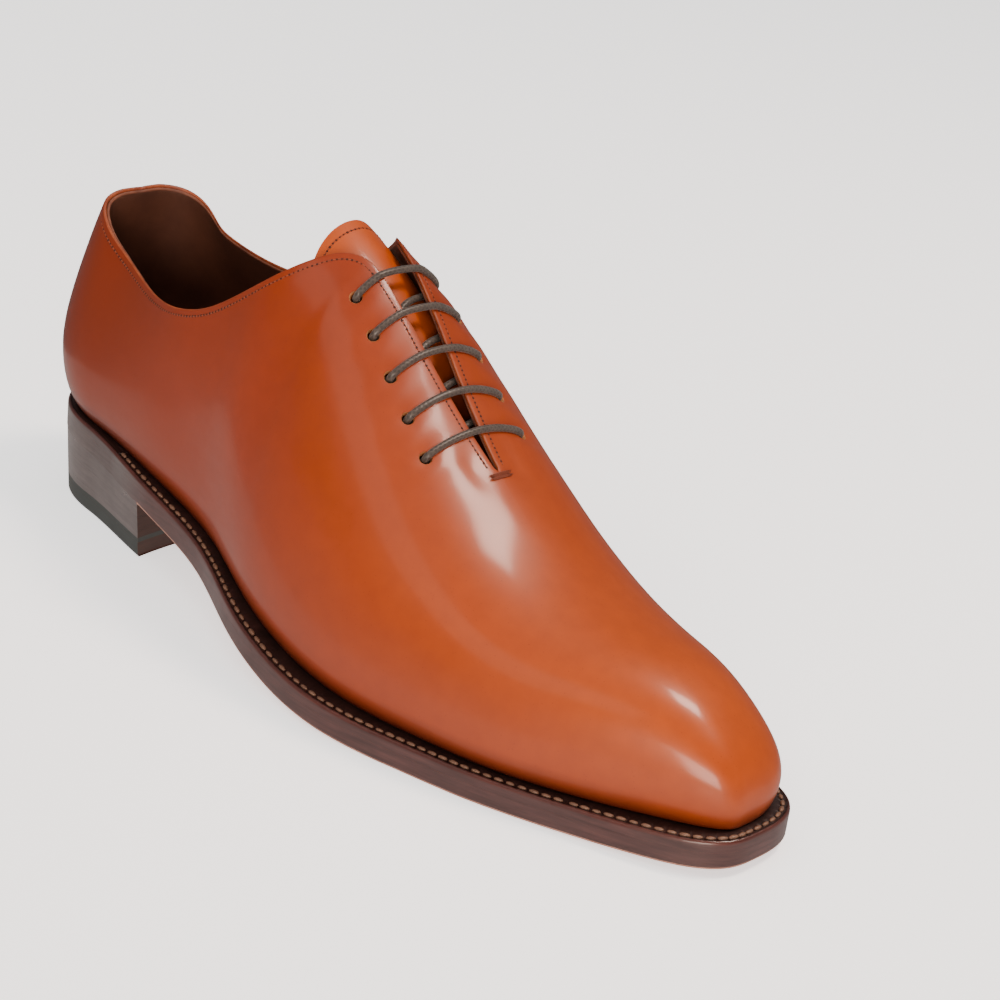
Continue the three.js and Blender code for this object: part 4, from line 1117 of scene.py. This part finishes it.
def spline(points, per=7):
    """Centripetal spline through the points."""
    p = np.asarray(points, float)
    p = np.concatenate([[2 * p[0] - p[1]], p, [2 * p[-1] - p[-2]]])
    line = []
    for i in range(1, len(p) - 2):
        t = [0.0]
        for k in range(3):
            t.append(t[-1] + max(np.linalg.norm(p[i + k] - p[i + k - 1]), 1e-6) ** 0.5)
        for u in np.linspace(t[1], t[2], per, endpoint=False):
            a = [((t[k + 1] - u) * p[i + k - 1] + (u - t[k]) * p[i + k]) / (t[k + 1] - t[k])
                 for k in range(3)]
            b = [((t[k + 2] - u) * a[k] + (u - t[k]) * a[k + 1]) / (t[k + 2] - t[k])
                 for k in range(2)]
            line.append(((t[2] - u) * b[0] + (u - t[1]) * b[1]) / (t[2] - t[1]))
    line.append(p[-2])
    return np.array(line)


def seated(x, side, away, height):
    """A point above the calf, with the relief of the calf included."""
    p = on_upper(x, side, away, 0.0)[0]
    a = on_upper(x + 1, side, away, 0.0)[0] - on_upper(x - 1, side, away, 0.0)[0]
    b = on_upper(x, side, away + 1, 0.0)[0] - on_upper(x, side, max(away - 1, 0.1), 0.0)[0]
    n = unit(np.cross(b, a))
    n = n if n[2] > 0 else -n
    return p + n * (float(relief(p[None])[0]) + height)


def lace_points():
    """Each row crosses straight above the facings and slants below to the next row."""
    by = {(h["row"], h["side"]): h for h in HOLES}
    deep = WALL + LACE_RADIUS + 0.45
    points = []
    for row in (3.7, 3, 2, 1, 0.4):
        share = row / (EYELET_ROWS - 1)
        x = mix(EYELET_FIRST, EYELET_LAST, share)
        away = mix(EYELET_OUT_FIRST, EYELET_OUT_LAST, share) + 7.5
        points.append(on_upper(x, 1, away, deep + 0.2)[0])
    for row in range(EYELET_ROWS):
        right, left = by[row, 1], by[row, -1]
        x = right["x"]
        gap = float(half_gap(x))
        press = LACE_RADIUS - 0.5
        points += [right["at"] - right["out"] * (deep - 0.9), right["at"] - right["out"] * 0.9]
        points.append(seated(x, 1, right["away"] - 0.9, press * 0.75))
        for share in (0.78, 0.4):
            points.append(seated(x, 1, mix(gap, right["away"], share), press))
        points.append(seated(x, 1, gap + 0.2, press + 0.1))
        points.append(seated(x, -1, gap + 0.2, press + 0.1))
        for share in (0.4, 0.78):
            points.append(seated(x, -1, mix(gap, left["away"], share), press))
        points.append(seated(x, -1, left["away"] - 0.9, press * 0.75))
        points += [left["at"] - left["out"] * 0.9, left["at"] - left["out"] * (deep - 0.9)]
        if row < EYELET_ROWS - 1:
            ahead = by[row + 1, 1]
            for share in (0.2, 0.5, 0.8):
                nx = mix(x, ahead["x"], share)
                y = mix(-left["away"], ahead["away"], share)
                points.append(on_upper(nx, -1 if y < 0 else 1, abs(y), deep)[0])
        else:
            points.append(on_upper(x + 1, -1, left["away"] + 5, deep + 0.2)[0])
    return np.array(points)


def tube(shell, line, radius, sides):
    """A round cord along a line, with u in millimetres and v in turns."""
    ahead = unit(np.gradient(line, axis=0))
    normal = unit(np.cross(ahead[0], (0.0, 0.2, 1.0)))
    run = np.concatenate([[0], np.cumsum(np.linalg.norm(np.diff(line, axis=0), axis=1))])
    angle = np.linspace(0, 2 * np.pi, sides + 1)
    rings, uv = [], []
    for i, p in enumerate(line):
        normal = unit(normal - ahead[i] * np.dot(normal, ahead[i]))
        other = np.cross(ahead[i], normal)
        rings.append(p + radius * (np.cos(angle)[:, None] * normal
                                   + np.sin(angle)[:, None] * other))
        uv.append(np.stack([np.full(sides + 1, run[i]), angle / (2 * np.pi)], -1))
    rings = np.array(rings)
    ends = [np.repeat(line[k][None, None], sides + 1, 1) for k in (0, -1)]
    rings = np.concatenate([ends[0], rings, ends[1]])
    shell.grid(rings, uv=np.array([uv[0]] + uv + [uv[-1]]))


def build_lace():
    """The round cord along its whole route, above and below the facings."""
    shell = Shell()
    tube(shell, spline(lace_points()), LACE_RADIUS - 0.05, 14)
    finish_piece(shell.build("lace cord", finishes("lace")), "waxed_cotton", "lace")


# Welt, sole and heel

def toe_spread(start, back, front, straight, toe):
    """Stations from a start to the toe, closer together round the toe."""
    corner = q_of_x(front - TOE_CAP_LONG, back, front)
    run = np.linspace(start, corner, straight)
    return np.concatenate([run, corner + (2 - corner) * np.linspace(0, 1, toe + 1)[1:]])


# The welt ends, and the rand begins, a little behind the heel breast
SEAM_Q = 1 + (q_of_x(LENGTH - TOE_CAP_LONG, 0, LENGTH) - 1) * 2 / 24


def both_sides(point, q, side, inset):
    """Plan coordinates of an outline whose stations lie on either side."""
    lateral, medial = point(q, -1, inset), point(q, 1, inset)
    return tuple(np.where(side < 0, a, b) for a, b in zip(lateral, medial))


def edge_path(start, end_toe, step):
    """(q, side) stations from the lateral end round the toe or the heel to the medial end."""
    if end_toe:
        half = toe_spread(start, 0, LENGTH, 900, 420)
    else:
        half = np.concatenate([np.linspace(start, 1, 60)[:-1], np.linspace(1, 0, 220)])
    q = np.concatenate([half, half[::-1][1:]])
    side = np.concatenate([np.full(len(half), -1), np.full(len(half) - 1, 1)])
    x, y = both_sides(sole_point, q, side, 0)
    run = np.concatenate([[0], np.cumsum(np.hypot(np.diff(x), np.diff(y)))])
    count = int(run[-1] / step)
    marks = np.linspace(0, run[-1], count + 1)
    place_at = np.interp(marks, run, np.arange(len(q)))
    picked_q = np.interp(place_at, np.arange(len(q)), q)
    picked_side = np.where(place_at < len(half) - 1, -1, 1)
    return picked_q, picked_side, marks


def strip_rows(q, side, marks, stitched):
    """Sections of the welt or rand from the outer bottom corner over the top to the inner side."""
    edge, feather = both_sides(sole_point, q, side, 0.0), both_sides(feather_point, q, side, 0.0)
    x_in, y_in = both_sides(feather_point, q, side, WALL + GAP)
    wide = np.maximum(np.hypot(edge[0] - feather[0], edge[1] - feather[1]), 1.2)
    # Distance inwards from the edge and height under the top, for each point of the section
    form = ((0, -1.7), (0.02, -1.0), (0.14, -0.5), (0.4, -0.16), (0.75, -WELT_BEAD * 0.2),
            (1.15, -0.22 - WELT_BEAD), (1.6, -0.26), (2.0, -0.2), (2.3, -0.18), (2.6, -0.2),
            (3.0, -0.26), (3.5, -0.2))
    phase = marks / WELT_PITCH - np.floor(marks / WELT_PITCH)
    off = np.minimum(phase, 1 - phase) * WELT_PITCH
    dent = WHEEL_DENT * np.exp(-(off / WHEEL_DENT_LONG) ** 2) * stitched
    rows = [np.stack([edge[0], edge[1], sole_top(edge[0]) + 0.16], -1)]
    for inset, drop in form:
        share = np.clip(inset / wide, 0, 0.95)
        x, y = mix(edge[0], feather[0], share), mix(edge[1], feather[1], share)
        near = np.exp(-((inset - WELT_STITCH_IN) / 1.2) ** 2)
        rows.append(np.stack([x, y, welt_top(x) + drop - dent * near], -1))
    for share, drop in ((0.9, 0.1), (1.0, WELT_CREASE), (1.12, WELT_CREASE * 0.8)):
        x, y = mix(edge[0], feather[0], share), mix(edge[1], feather[1], share)
        rows.append(np.stack([x, y, welt_top(x) - drop], -1))
    for z in (welt_top(x_in) - 0.2, sole_top(x_in) + 0.16):
        rows.append(np.stack([x_in, y_in, z], -1))
    rows.append(rows[0].copy())
    return np.stack(rows, 1)


def build_strip(name, start, at_toe, step, node_name):
    """The welt, which goes round the toe and is stitched, or the plain rand round the heel."""
    q, side, marks = edge_path(start, at_toe, step)
    rows = strip_rows(q, side, marks, at_toe)
    shell = Shell()
    # The bead rows take the bead's redder colour, partly a painted highlight
    looks = np.array([EDGE] * 2 + [BEAD] * 3 + [STRIP_TOP] * (rows.shape[1] - 6))
    shell.grid(rows, look=looks[None].repeat(len(q) - 1, 0))
    for k in (0, -1):
        middle = rows[k].mean(0)
        shell.grid(np.stack([rows[k], np.repeat(middle[None], rows.shape[1], 0)]), look=EDGE)
    strip = shell.build(name, finishes(*STRIP_FINISHES), sharp=50)
    finish_piece(strip, "edge_leather", node_name)
    return rows, marks


def build_welt():
    """The welt with a raised stitch between every two wheel marks, and the rand."""
    rows, marks = build_strip("welt strip", SEAM_Q, True, 0.45, "welt")
    pick = np.arange(0.5 * WELT_PITCH, marks[-1] - 1, WELT_PITCH)

    def at(row, s):
        return np.stack([np.interp(s, marks, rows[:, row, i]) for i in range(3)], -1)
    ahead = unit(at(9, pick + 0.5) - at(9, pick - 0.5))
    up = unit(np.cross(ahead, unit(at(7, pick) - at(11, pick))))
    up = up * np.sign(up[:, 2:3])
    length = bpy.context.scene.oxford.welt_stitch_length * 1000
    thread = scatter("welt thread", at(9, pick) + up * 0.08, ahead, up,
                     (length, WELT_THREAD_WIDE, WELT_THREAD_HIGH), "welt thread", 0.1, 10, 6)
    finish_piece(thread, "waxed_cotton")
    rand_start = SEAM_Q - 0.03 / (LENGTH - HEEL_CAP_LONG + 0.35 * TOE_CAP_LONG)
    build_strip("heel rand", rand_start, False, 0.8, "heel_rand")


def layer_shell(q, levels, across, looks, shape=None, cap_looks=(0, 0), point=sole_point):
    """A flat layer: stations along it, points across it, and levels (inset, height) upwards."""
    v = np.linspace(0, 1, across + 1)[None, :]
    grids = []
    for inset, height in levels:
        left, right = point(q, -1, inset), point(q, 1, inset)
        x = mix(left[0][:, None], right[0][:, None], v)
        y = mix(left[1][:, None], right[1][:, None], v)
        if shape is not None:
            x, y = shape(x, y, v)
        z = height(x) if callable(height) else np.full_like(x, height)
        grids.append(np.stack([x, y, z + np.zeros_like(x)], -1))
    shell = Shell()
    shell.grid(grids[0], True, cap_looks[0])
    shell.grid(grids[-1], False, cap_looks[1])
    for k, look in zip(range(len(grids) - 1), looks):
        low, high = grids[k], grids[k + 1]
        side_look, front_look = look if isinstance(look, tuple) else (look, look)
        shell.grid(np.stack([low[:, 0], high[:, 0]], 1), True, side_look)
        shell.grid(np.stack([low[:, -1], high[:, -1]], 1), False, side_look)
        shell.grid(np.stack([low[0], high[0]], 1), False, front_look)
        shell.grid(np.stack([low[-1], high[-1]], 1), True, front_look)
    return shell


def rounded(inset, height, size, count):
    """Levels of a rounded corner at the bottom of a layer."""
    return [(inset + size * (1 - np.sin(a)),
             (lambda x, rise=size * (1 - np.cos(a)): height(x) + rise))
            for a in np.linspace(0, np.pi / 2, count + 1)]


def build_outsole():
    """The sole in one plate, square under the heel and with a bare line along its bottom edge,
    lightened as a painted highlight.
    """
    breast_q = heel_q(HEEL_BREAST)
    q = np.concatenate([np.linspace(0, 1, 40), np.linspace(1, breast_q, 24)[1:],
                        toe_spread(breast_q, 0, LENGTH, 130, 60)[1:]])
    # The bottom corner is square on the heel and rounded in front of it
    ahead = smooth((sole_point(q, -1, 0)[0] - HEEL_BREAST + 0.5) / 2)
    size = EDGE_CHAMFER * ahead
    levels = [(size * (1 - np.sin(a)),
               (lambda x, rise=(size * (1 - np.cos(a)))[:, None]: sole_bottom(x) + rise))
              for a in np.linspace(0, np.pi / 2, 5)]
    levels += [(0.0, lambda x: sole_bottom(x) + 0.75), (0.0, lambda x: sole_top(x) - 2.2),
               (0.0, lambda x: sole_top(x) + 0.14)]
    # The bare line with its painted highlight runs in front of the heel
    bare_line_highlight_look = np.where(ahead[:-1, None] > 0.02, 1, 2)
    looks = [(bare_line_highlight_look, 1)] * 5 + [2, 2]
    shell = layer_shell(q, levels, 40, looks)
    sole = shell.build("outsole leather", finishes("sole", "natural line", "edge"), sharp=60)
    finish_piece(sole, "sole_leather", "outsole")
    build_insole()
    build_toe_nails()


def build_insole():
    room = WALL + 2 * GAP
    q = np.concatenate([np.linspace(0, 1, 30),
                        toe_spread(1, FEATHER_BACK, FEATHER_FRONT, 90, 40)[1:]])
    shell = layer_shell(q, [
        (room, lambda x: sole_top(x) + GAP), (room, lambda x: foot_z(x) + INSOLE_RISE - 0.5),
        (room + 0.5, lambda x: foot_z(x) + INSOLE_RISE)], 16, [0, 0], point=feather_point)
    finish_piece(shell.build("insole leather", finishes("sock"), sharp=50), "lining", "insole")


def build_toe_nails():
    """Brass pins in an arc along the toe of the sole."""
    nails = []
    for k in range(TOE_NAILS):
        turn = (k / (TOE_NAILS - 1) - 0.5) * 1.5
        x = LENGTH - 31 + 17 * math.cos(turn)
        y = centre_y(LENGTH - 20) + 25 * math.sin(turn)
        nails.append((x, y, float(sole_bottom(x)) + 0.02))
    finish_piece(pins("toe nails", nails, (2.2, 2.2, 0.5), "brass", 16, 8), "sole_leather")


def pins(name, points, size_mm, look, segments, rings):
    """Pins that stand upright in a level face."""
    return scatter(name, np.array(points), [(1, 0, 0)] * len(points), [(0, 0, 1)] * len(points),
                   size_mm, look, 0.02, segments, rings)


def heel_q(x):
    if x >= HEEL_CAP_LONG:
        return q_of_x(x, 0, LENGTH)
    return math.acos((1 - x / HEEL_CAP_LONG) ** (HEEL_CAP_POWER / 2)) / (math.pi / 2)


def level(height):
    """A height as a function of x."""
    return height if callable(height) else (lambda x: np.full_like(x, height))


def heel_piece(name, start, stop, low, high, materials, looks, slot, node_name, notch=False,
               round_low=0.0, caps=(0, 0)):
    """One layer of the heel, tapered with its height and curved at the breast."""
    to_breast = stop > HEEL_CAP_LONG
    q = np.linspace(heel_q(start), 1 if to_breast else heel_q(stop), 44)
    if to_breast:
        before_notch = heel_q(stop - NOTCH_LONG)
        q = np.concatenate([q, np.linspace(1, before_notch, 20)[1:],
                            np.linspace(before_notch, heel_q(stop), 9)[1:]])

    def shape(x, y, v):
        if not to_breast:
            return x, y
        bowed = x - BREAST_CURVE * (1 - (2 * v - 1) ** 2) * smooth((x - stop + 14) / 14)
        cut = NOTCH_WIDE * np.clip((x - stop + NOTCH_LONG) / NOTCH_LONG, 0, 1) if notch else 0
        return bowed, y - cut * v
    low, high = level(low), level(high)
    bottom, top = (float(h(np.array([HEEL_MIDDLE]))[0]) for h in (low, high))

    def inset(share):
        return HEEL_TAPER * (1 - np.clip(mix(bottom, top, share) / HEEL_HEIGHT, 0, 1))
    levels = rounded(inset(0), low, round_low, 3)[:-1] if round_low else []
    levels += [(inset(s), (lambda x, s=s: mix(low(x), high(x), s)))
               for s in np.linspace(round_low / (top - bottom), 1, 6)]
    if not isinstance(looks, list):
        looks = [looks] * (len(levels) - 1)
    shell = layer_shell(q, levels, 24, looks, shape=shape, cap_looks=caps)
    finish_piece(shell.build(name, finishes(*materials), sharp=35), slot, node_name)


def build_heel():
    """Two leather lifts, a rubber lift, and a top piece of leather with a rubber tip."""
    slack = 0.02
    tread_top = TOP_PIECE_THICK + 0.5 * GAP - slack
    stack = level(TOP_PIECE_THICK + 1.5 * GAP + RUBBER_LIFT_THICK)

    def seat(x):
        return sole_bottom(x) - slack

    def middle(x):
        return (stack(x) + seat(x)) / 2
    heel_piece("heel lift under the sole", 0, HEEL_BREAST, lambda x: middle(x) + slack, seat,
               ("stack", "breast"), (0, 1), "stack_leather", "heel_lift_upper")
    heel_piece("heel lift middle", 0, HEEL_BREAST, lambda x: stack(x) + slack,
               lambda x: middle(x) - slack, ("stack", "breast"), (0, 1), "stack_leather",
               "heel_lift_lower")
    # The ink of the stack runs down over the upper part of the rubber lift
    heel_piece("rubber lift", 0, HEEL_BREAST, tread_top + 2 * slack,
               lambda x: stack(x) - slack, ("rubber", "stack", "breast"),
               [(0, 0)] * 2 + [(1, 2)] * 3, "heel_rubber", "rubber_lift")
    heel_piece("top piece leather", TIP_LONG + GAP, HEEL_BREAST, 0.0, tread_top,
               ("rubber", "top piece", "breast"), (0, 2), "stack_leather", "top_piece",
               notch=True, round_low=0.5, caps=(1, 1))
    heel_piece("top piece rubber tip", 0, TIP_LONG, 0.0, tread_top, ("rubber",), 0,
               "heel_rubber", "top_piece_tip", round_low=0.5)
    # Pairs of blackened pins in two bowed rows
    points = []
    for back, wide in ((TIP_LONG + 5, 44), (HEEL_BREAST - 9, 36)):
        for k in range(6):
            side = (k / 5 - 0.5)
            x = back + 3 * math.cos(side * 3) - 3 + (4 * side * side)
            points += [(x, 1.5 + wide * side + gap, 0.02) for gap in (-0.9, 0.9)]
    finish_piece(pins("top piece nails", points, (1.1, 1.1, 0.3), "steel", 10, 6),
                 "stack_leather")


# Stitching of the upper

def eased(line, normal, step=0.4, window=15):
    """The machine rounds a tight corner, so each point moves to the mean of its neighbours."""
    points, _, up = paced(line, step, 0.0, normal)
    half = window // 2

    def mean(values):
        padded = np.concatenate([values[:1].repeat(half, 0), values, values[-1:].repeat(half, 0)])
        rows = [padded[k:k + len(values)] for k in range(window)]
        return sum(rows) / window
    blend_in = smooth(np.minimum(np.arange(len(points)), np.arange(len(points))[::-1]) / half)
    return mix(points, mean(points), blend_in[:, None]), unit(mean(up))


def stitch_rows():
    """One row along the top line and facing of each side, and one across the tongue."""
    runs = [eased(*edge_row(side, STITCH_INSET)) for side in (-1, 1)]
    row = TONGUE_TOP + TONGUE_STITCH_INSET
    across = np.linspace(-0.93, 0.93, 60)
    line, lower = (np.stack([tongue_point([row + k + 5 * abs(v) ** 6], v, 0.0)[0]
                             for v in across]) for k in (0, 1))
    normal = unit(np.cross(np.gradient(line, axis=0), lower - line))
    runs.append((line, normal * np.sign(normal[:, 2:3])))
    return runs


def build_stitching():
    """Threads lie between the needle holes, half a stitch apart from them; each hole is a dull
    dark spot of painted shade.
    """
    pitch = bpy.context.scene.oxford.stitch_pitch * 1000
    rows = stitch_rows()
    for name, start, lift, size, look, uneven, rings in (
            ("upper thread", 0.5, 0.02, (pitch * 0.66, THREAD_WIDE, THREAD_HIGH), "thread",
             0.12, 5),
            ("needle holes", 0.0, 0.005, (NEEDLE_HOLE_SHADE, NEEDLE_HOLE_SHADE, 0.12), "needle hole",
             0.15, 4)):
        points, aheads, ups = [], [], []
        for line, normal in rows:
            p, ahead, up = paced(line, pitch, start, normal)
            square = unit(up - ahead * np.sum(up * ahead, -1, keepdims=True))
            points.append(p + (square if start else up) * lift)
            aheads.append(ahead)
            ups.append(square)
        made = scatter(name, *(np.concatenate(part) for part in (points, aheads, ups)), size,
                       look, uneven, 8, rings)
        finish_piece(made, "waxed_cotton")
    # The bar tack: strands laid side by side across the closed end of the throat
    bars, bar_up = [], []
    for k in range(BAR_STRANDS):
        x = VAMP_POINT + 0.5 + k * 0.26
        here = on_upper([x, x + 1, x - 1], 1, 0.05, 0.0)
        up = unit(np.cross(here[1] - here[2], (0.0, 1.0, 0.0)))
        bars.append(here[0] + up * (float(relief(here[:1])[0]) + 0.12))
        bar_up.append(up)
    bar = scatter("bar tack", np.array(bars), [(0, 1, 0)] * len(bars), np.array(bar_up),
                  BAR_STRAND, "bar thread", 0.12, 12, 6)
    finish_piece(bar, "waxed_cotton")


# Stage

CAMERA_TARGET = (139.65, 58.55, 29.70)
CAMERA_AWAY = 733.18
CAMERA_TURN, CAMERA_RISE, CAMERA_ROLL = 44.08, 24.7, 7.59
CAMERA_LENS = 81.36
WARM_LIGHT, WHITE_LIGHT = "#FFE9D8", "#FFFFFF"
# Name, direction, distance, size, share of the key light's power and the point it is turned to
SOFTBOXES = (
    ("key softbox", (0.28, 0.3, 0.91), 1.3, (0.28, 0.38), 1, (0, 0, 0.04)),
    ("toe softbox", (0.68, -0.70, 0.2), 1.2, (0.56, 0.42), 0.95, (0.12, 0, 0.03)),
    ("flank softbox", (0.0, -0.72, 0.7), 1.4, (1.2, 0.5), 0.2, (0, 0, 0.04)),
)


def build_camera():
    """The photograph's view, fitted to the outlines of the sole, the heel and the collar."""
    a, e, r = (math.radians(v) for v in (CAMERA_TURN, CAMERA_RISE, CAMERA_ROLL))
    back = Vector((math.sin(a) * math.cos(e), -math.cos(a) * math.cos(e), math.sin(e)))
    right = Vector((math.cos(a), math.sin(a), 0))
    up = back.cross(right)
    turned = right * math.cos(r) + up * math.sin(r)
    upright = up * math.cos(r) - right * math.sin(r)
    target = Vector(to_frame(CAMERA_TARGET))
    camera = add_object("camera", bpy.data.cameras.new("camera"))
    camera.data.lens = CAMERA_LENS
    camera.data.sensor_width = 36
    camera.data.clip_start = 0.05
    eye = target + back * CAMERA_AWAY / 1000
    camera.matrix_world = Matrix.Translation(eye) @ Matrix(
        (turned, upright, back)).transposed().to_4x4()
    bpy.context.scene.camera = camera


def softbox(name, towards, distance, size, power, target=(0, 0, 0.04), colour=WARM_LIGHT):
    """A rectangular lamp at a distance in a direction, turned to its target."""
    lamp = bpy.data.lights.new(name, "AREA")
    lamp.shape = "RECTANGLE"
    lamp.size, lamp.size_y = size
    lamp.energy = power
    lamp.color = srgb(colour)[:3]
    obj = add_object(name, lamp)
    way = Vector(towards).normalized()
    obj.location = Vector(target) + way * distance
    obj.rotation_euler = way.to_track_quat("Z", "Y").to_euler()
    return obj


def paper(name, half, z, finish_name, rough, base, glow, strength):
    """A level sheet under the shoe that glows a little, as lit paper does."""
    x, y = half
    mesh = bpy.data.meshes.new(name)
    mesh.from_pydata([(-x, -y, z), (x, -y, z), (x, y, z), (-x, y, z)], [], [(0, 1, 2, 3)])
    made, _, shader, _ = material(finish_name)
    feed(shader, Base_Color=srgb(base), Roughness=rough, Emission_Color=srgb(glow),
         Emission_Strength=strength)
    mesh.materials.append(made)
    return add_object(name, mesh)


def build_stage():
    """A white floor, three warm softboxes and an even white fill from above."""
    look = bpy.context.scene.oxford
    # Only a small sheet close to the shoe shows in the polish, as in a dark studio
    floor = paper("studio floor", (3.0, 3.0), 0, "Matt white paper", rough=0.75, base="#F8F7F7",
                  glow="#FFFFFF", strength=1.15)
    floor.visible_glossy = False
    sheet = paper("reflected sheet", (0.26, 0.118), -0.001, "Shaded paper", rough=0.5,
                  base="#202020", glow="#FFF2EC", strength=0.6)
    sheet.visible_camera = sheet.visible_diffuse = sheet.visible_shadow = False
    world = bpy.data.worlds.new("studio")
    world.use_nodes = True
    feed(world.node_tree.nodes["Background"], Color=srgb("#F4F4F6"), Strength=look.sky_strength)
    bpy.context.scene.world = world
    for name, towards, distance, size, share, target in SOFTBOXES:
        softbox(name, towards, distance, size, look.key_power * share, target)
    fill = softbox("overhead fill", (-0.1, -0.1, 1.0), 2.2, (3.0, 3.0), look.fill_power,
                   colour=WHITE_LIGHT)
    fill.visible_glossy = False
    build_camera()


# Add-on

class OxfordSettings(bpy.types.PropertyGroup):
    """Colours, stitch lengths and light powers that a user may change"""
    calf_deep: bpy.props.FloatVectorProperty(
        name="Calf, deep", description="Shaded colour of the polished calf", size=4,
        subtype="COLOR", min=0, max=1, default=srgb("#682103"))
    calf: bpy.props.FloatVectorProperty(
        name="Calf", description="Main colour of the polished calf", size=4,
        subtype="COLOR", min=0, max=1, default=srgb("#862C03"))
    calf_light: bpy.props.FloatVectorProperty(
        name="Calf, toe", description="Lighter colour of the calf towards the toe", size=4,
        subtype="COLOR", min=0, max=1, default=srgb("#B44A04"))
    stitch_pitch: bpy.props.FloatProperty(
        name="Stitch pitch", description="Length of one stitch of the upper with its hole",
        unit="LENGTH", min=0.0008, max=0.004, default=0.0015)
    welt_stitch_length: bpy.props.FloatProperty(
        name="Welt stitch", description="Visible length of one stitch on the welt",
        unit="LENGTH", min=0.001, max=0.0034, default=0.003)
    key_power: bpy.props.FloatProperty(
        name="Key light", description="Power of the softbox over the shoe",
        unit="POWER", min=0, default=13.5)
    fill_power: bpy.props.FloatProperty(
        name="Fill light", description="Power of the even light from above that whitens the floor",
        unit="POWER", min=0, default=42)
    sky_strength: bpy.props.FloatProperty(
        name="Sky", description="Strength of the even light all round", min=0, default=0.18)


class OXFORD_OT_upper(bpy.types.Operator):
    """Makes the calf upper with its lining, folds and punched eyelets"""
    bl_idname = "oxford.upper"
    bl_label = "Upper"

    def execute(self, context):
        build_upper()
        return {"FINISHED"}


class OXFORD_OT_tongue(bpy.types.Operator):
    """Makes the tongue under the facings"""
    bl_idname = "oxford.tongue"
    bl_label = "Tongue"

    def execute(self, context):
        build_tongue()
        return {"FINISHED"}


class OXFORD_OT_lace(bpy.types.Operator):
    """Makes the round lace through the eyelets"""
    bl_idname = "oxford.lace"
    bl_label = "Lace"

    def execute(self, context):
        build_lace()
        return {"FINISHED"}


class OXFORD_OT_stitching(bpy.types.Operator):
    """Makes the stitch rows, the painted shade of their needle holes, and the bar tack"""
    bl_idname = "oxford.stitching"
    bl_label = "Stitching"

    def execute(self, context):
        build_stitching()
        return {"FINISHED"}


class OXFORD_OT_welt(bpy.types.Operator):
    """Makes the welt with its stitches, and the rand round the heel seat"""
    bl_idname = "oxford.welt"
    bl_label = "Welt and rand"

    def execute(self, context):
        build_welt()
        return {"FINISHED"}


class OXFORD_OT_sole(bpy.types.Operator):
    """Makes the outsole with its toe nails, and the insole"""
    bl_idname = "oxford.sole"
    bl_label = "Outsole and insole"

    def execute(self, context):
        build_outsole()
        return {"FINISHED"}


class OXFORD_OT_heel(bpy.types.Operator):
    """Makes the stacked heel with its rubber and top piece"""
    bl_idname = "oxford.heel"
    bl_label = "Heel"

    def execute(self, context):
        build_heel()
        return {"FINISHED"}


class OXFORD_OT_stage(bpy.types.Operator):
    """Sets the floor, the lights and the camera"""
    bl_idname = "oxford.stage"
    bl_label = "Stage"

    def execute(self, context):
        build_stage()
        return {"FINISHED"}


STEPS = (OXFORD_OT_upper, OXFORD_OT_tongue, OXFORD_OT_lace, OXFORD_OT_stitching, OXFORD_OT_welt,
         OXFORD_OT_sole, OXFORD_OT_heel, OXFORD_OT_stage)


class OXFORD_PT_panel(bpy.types.Panel):
    bl_label = "Cut oxford"
    bl_idname = "OXFORD_PT_panel"
    bl_space_type = "VIEW_3D"
    bl_region_type = "UI"
    bl_category = "Oxford"

    def draw(self, context):
        settings = context.scene.oxford
        for key in OxfordSettings.__annotations__:
            self.layout.prop(settings, key)
        for step in STEPS:
            self.layout.operator(step.bl_idname)


def register():
    for kind in (OxfordSettings,) + STEPS + (OXFORD_PT_panel,):
        bpy.utils.register_class(kind)
    bpy.types.Scene.oxford = bpy.props.PointerProperty(type=OxfordSettings)


def unregister():
    del bpy.types.Scene.oxford
    for kind in (OXFORD_PT_panel,) + STEPS[::-1] + (OxfordSettings,):
        bpy.utils.unregister_class(kind)


def main():
    register()
    for step in STEPS:
        group, name = step.bl_idname.split(".")
        getattr(getattr(bpy.ops, group), name)()
    bpy.context.view_layer.update()


if __name__ == "__main__":
    main()
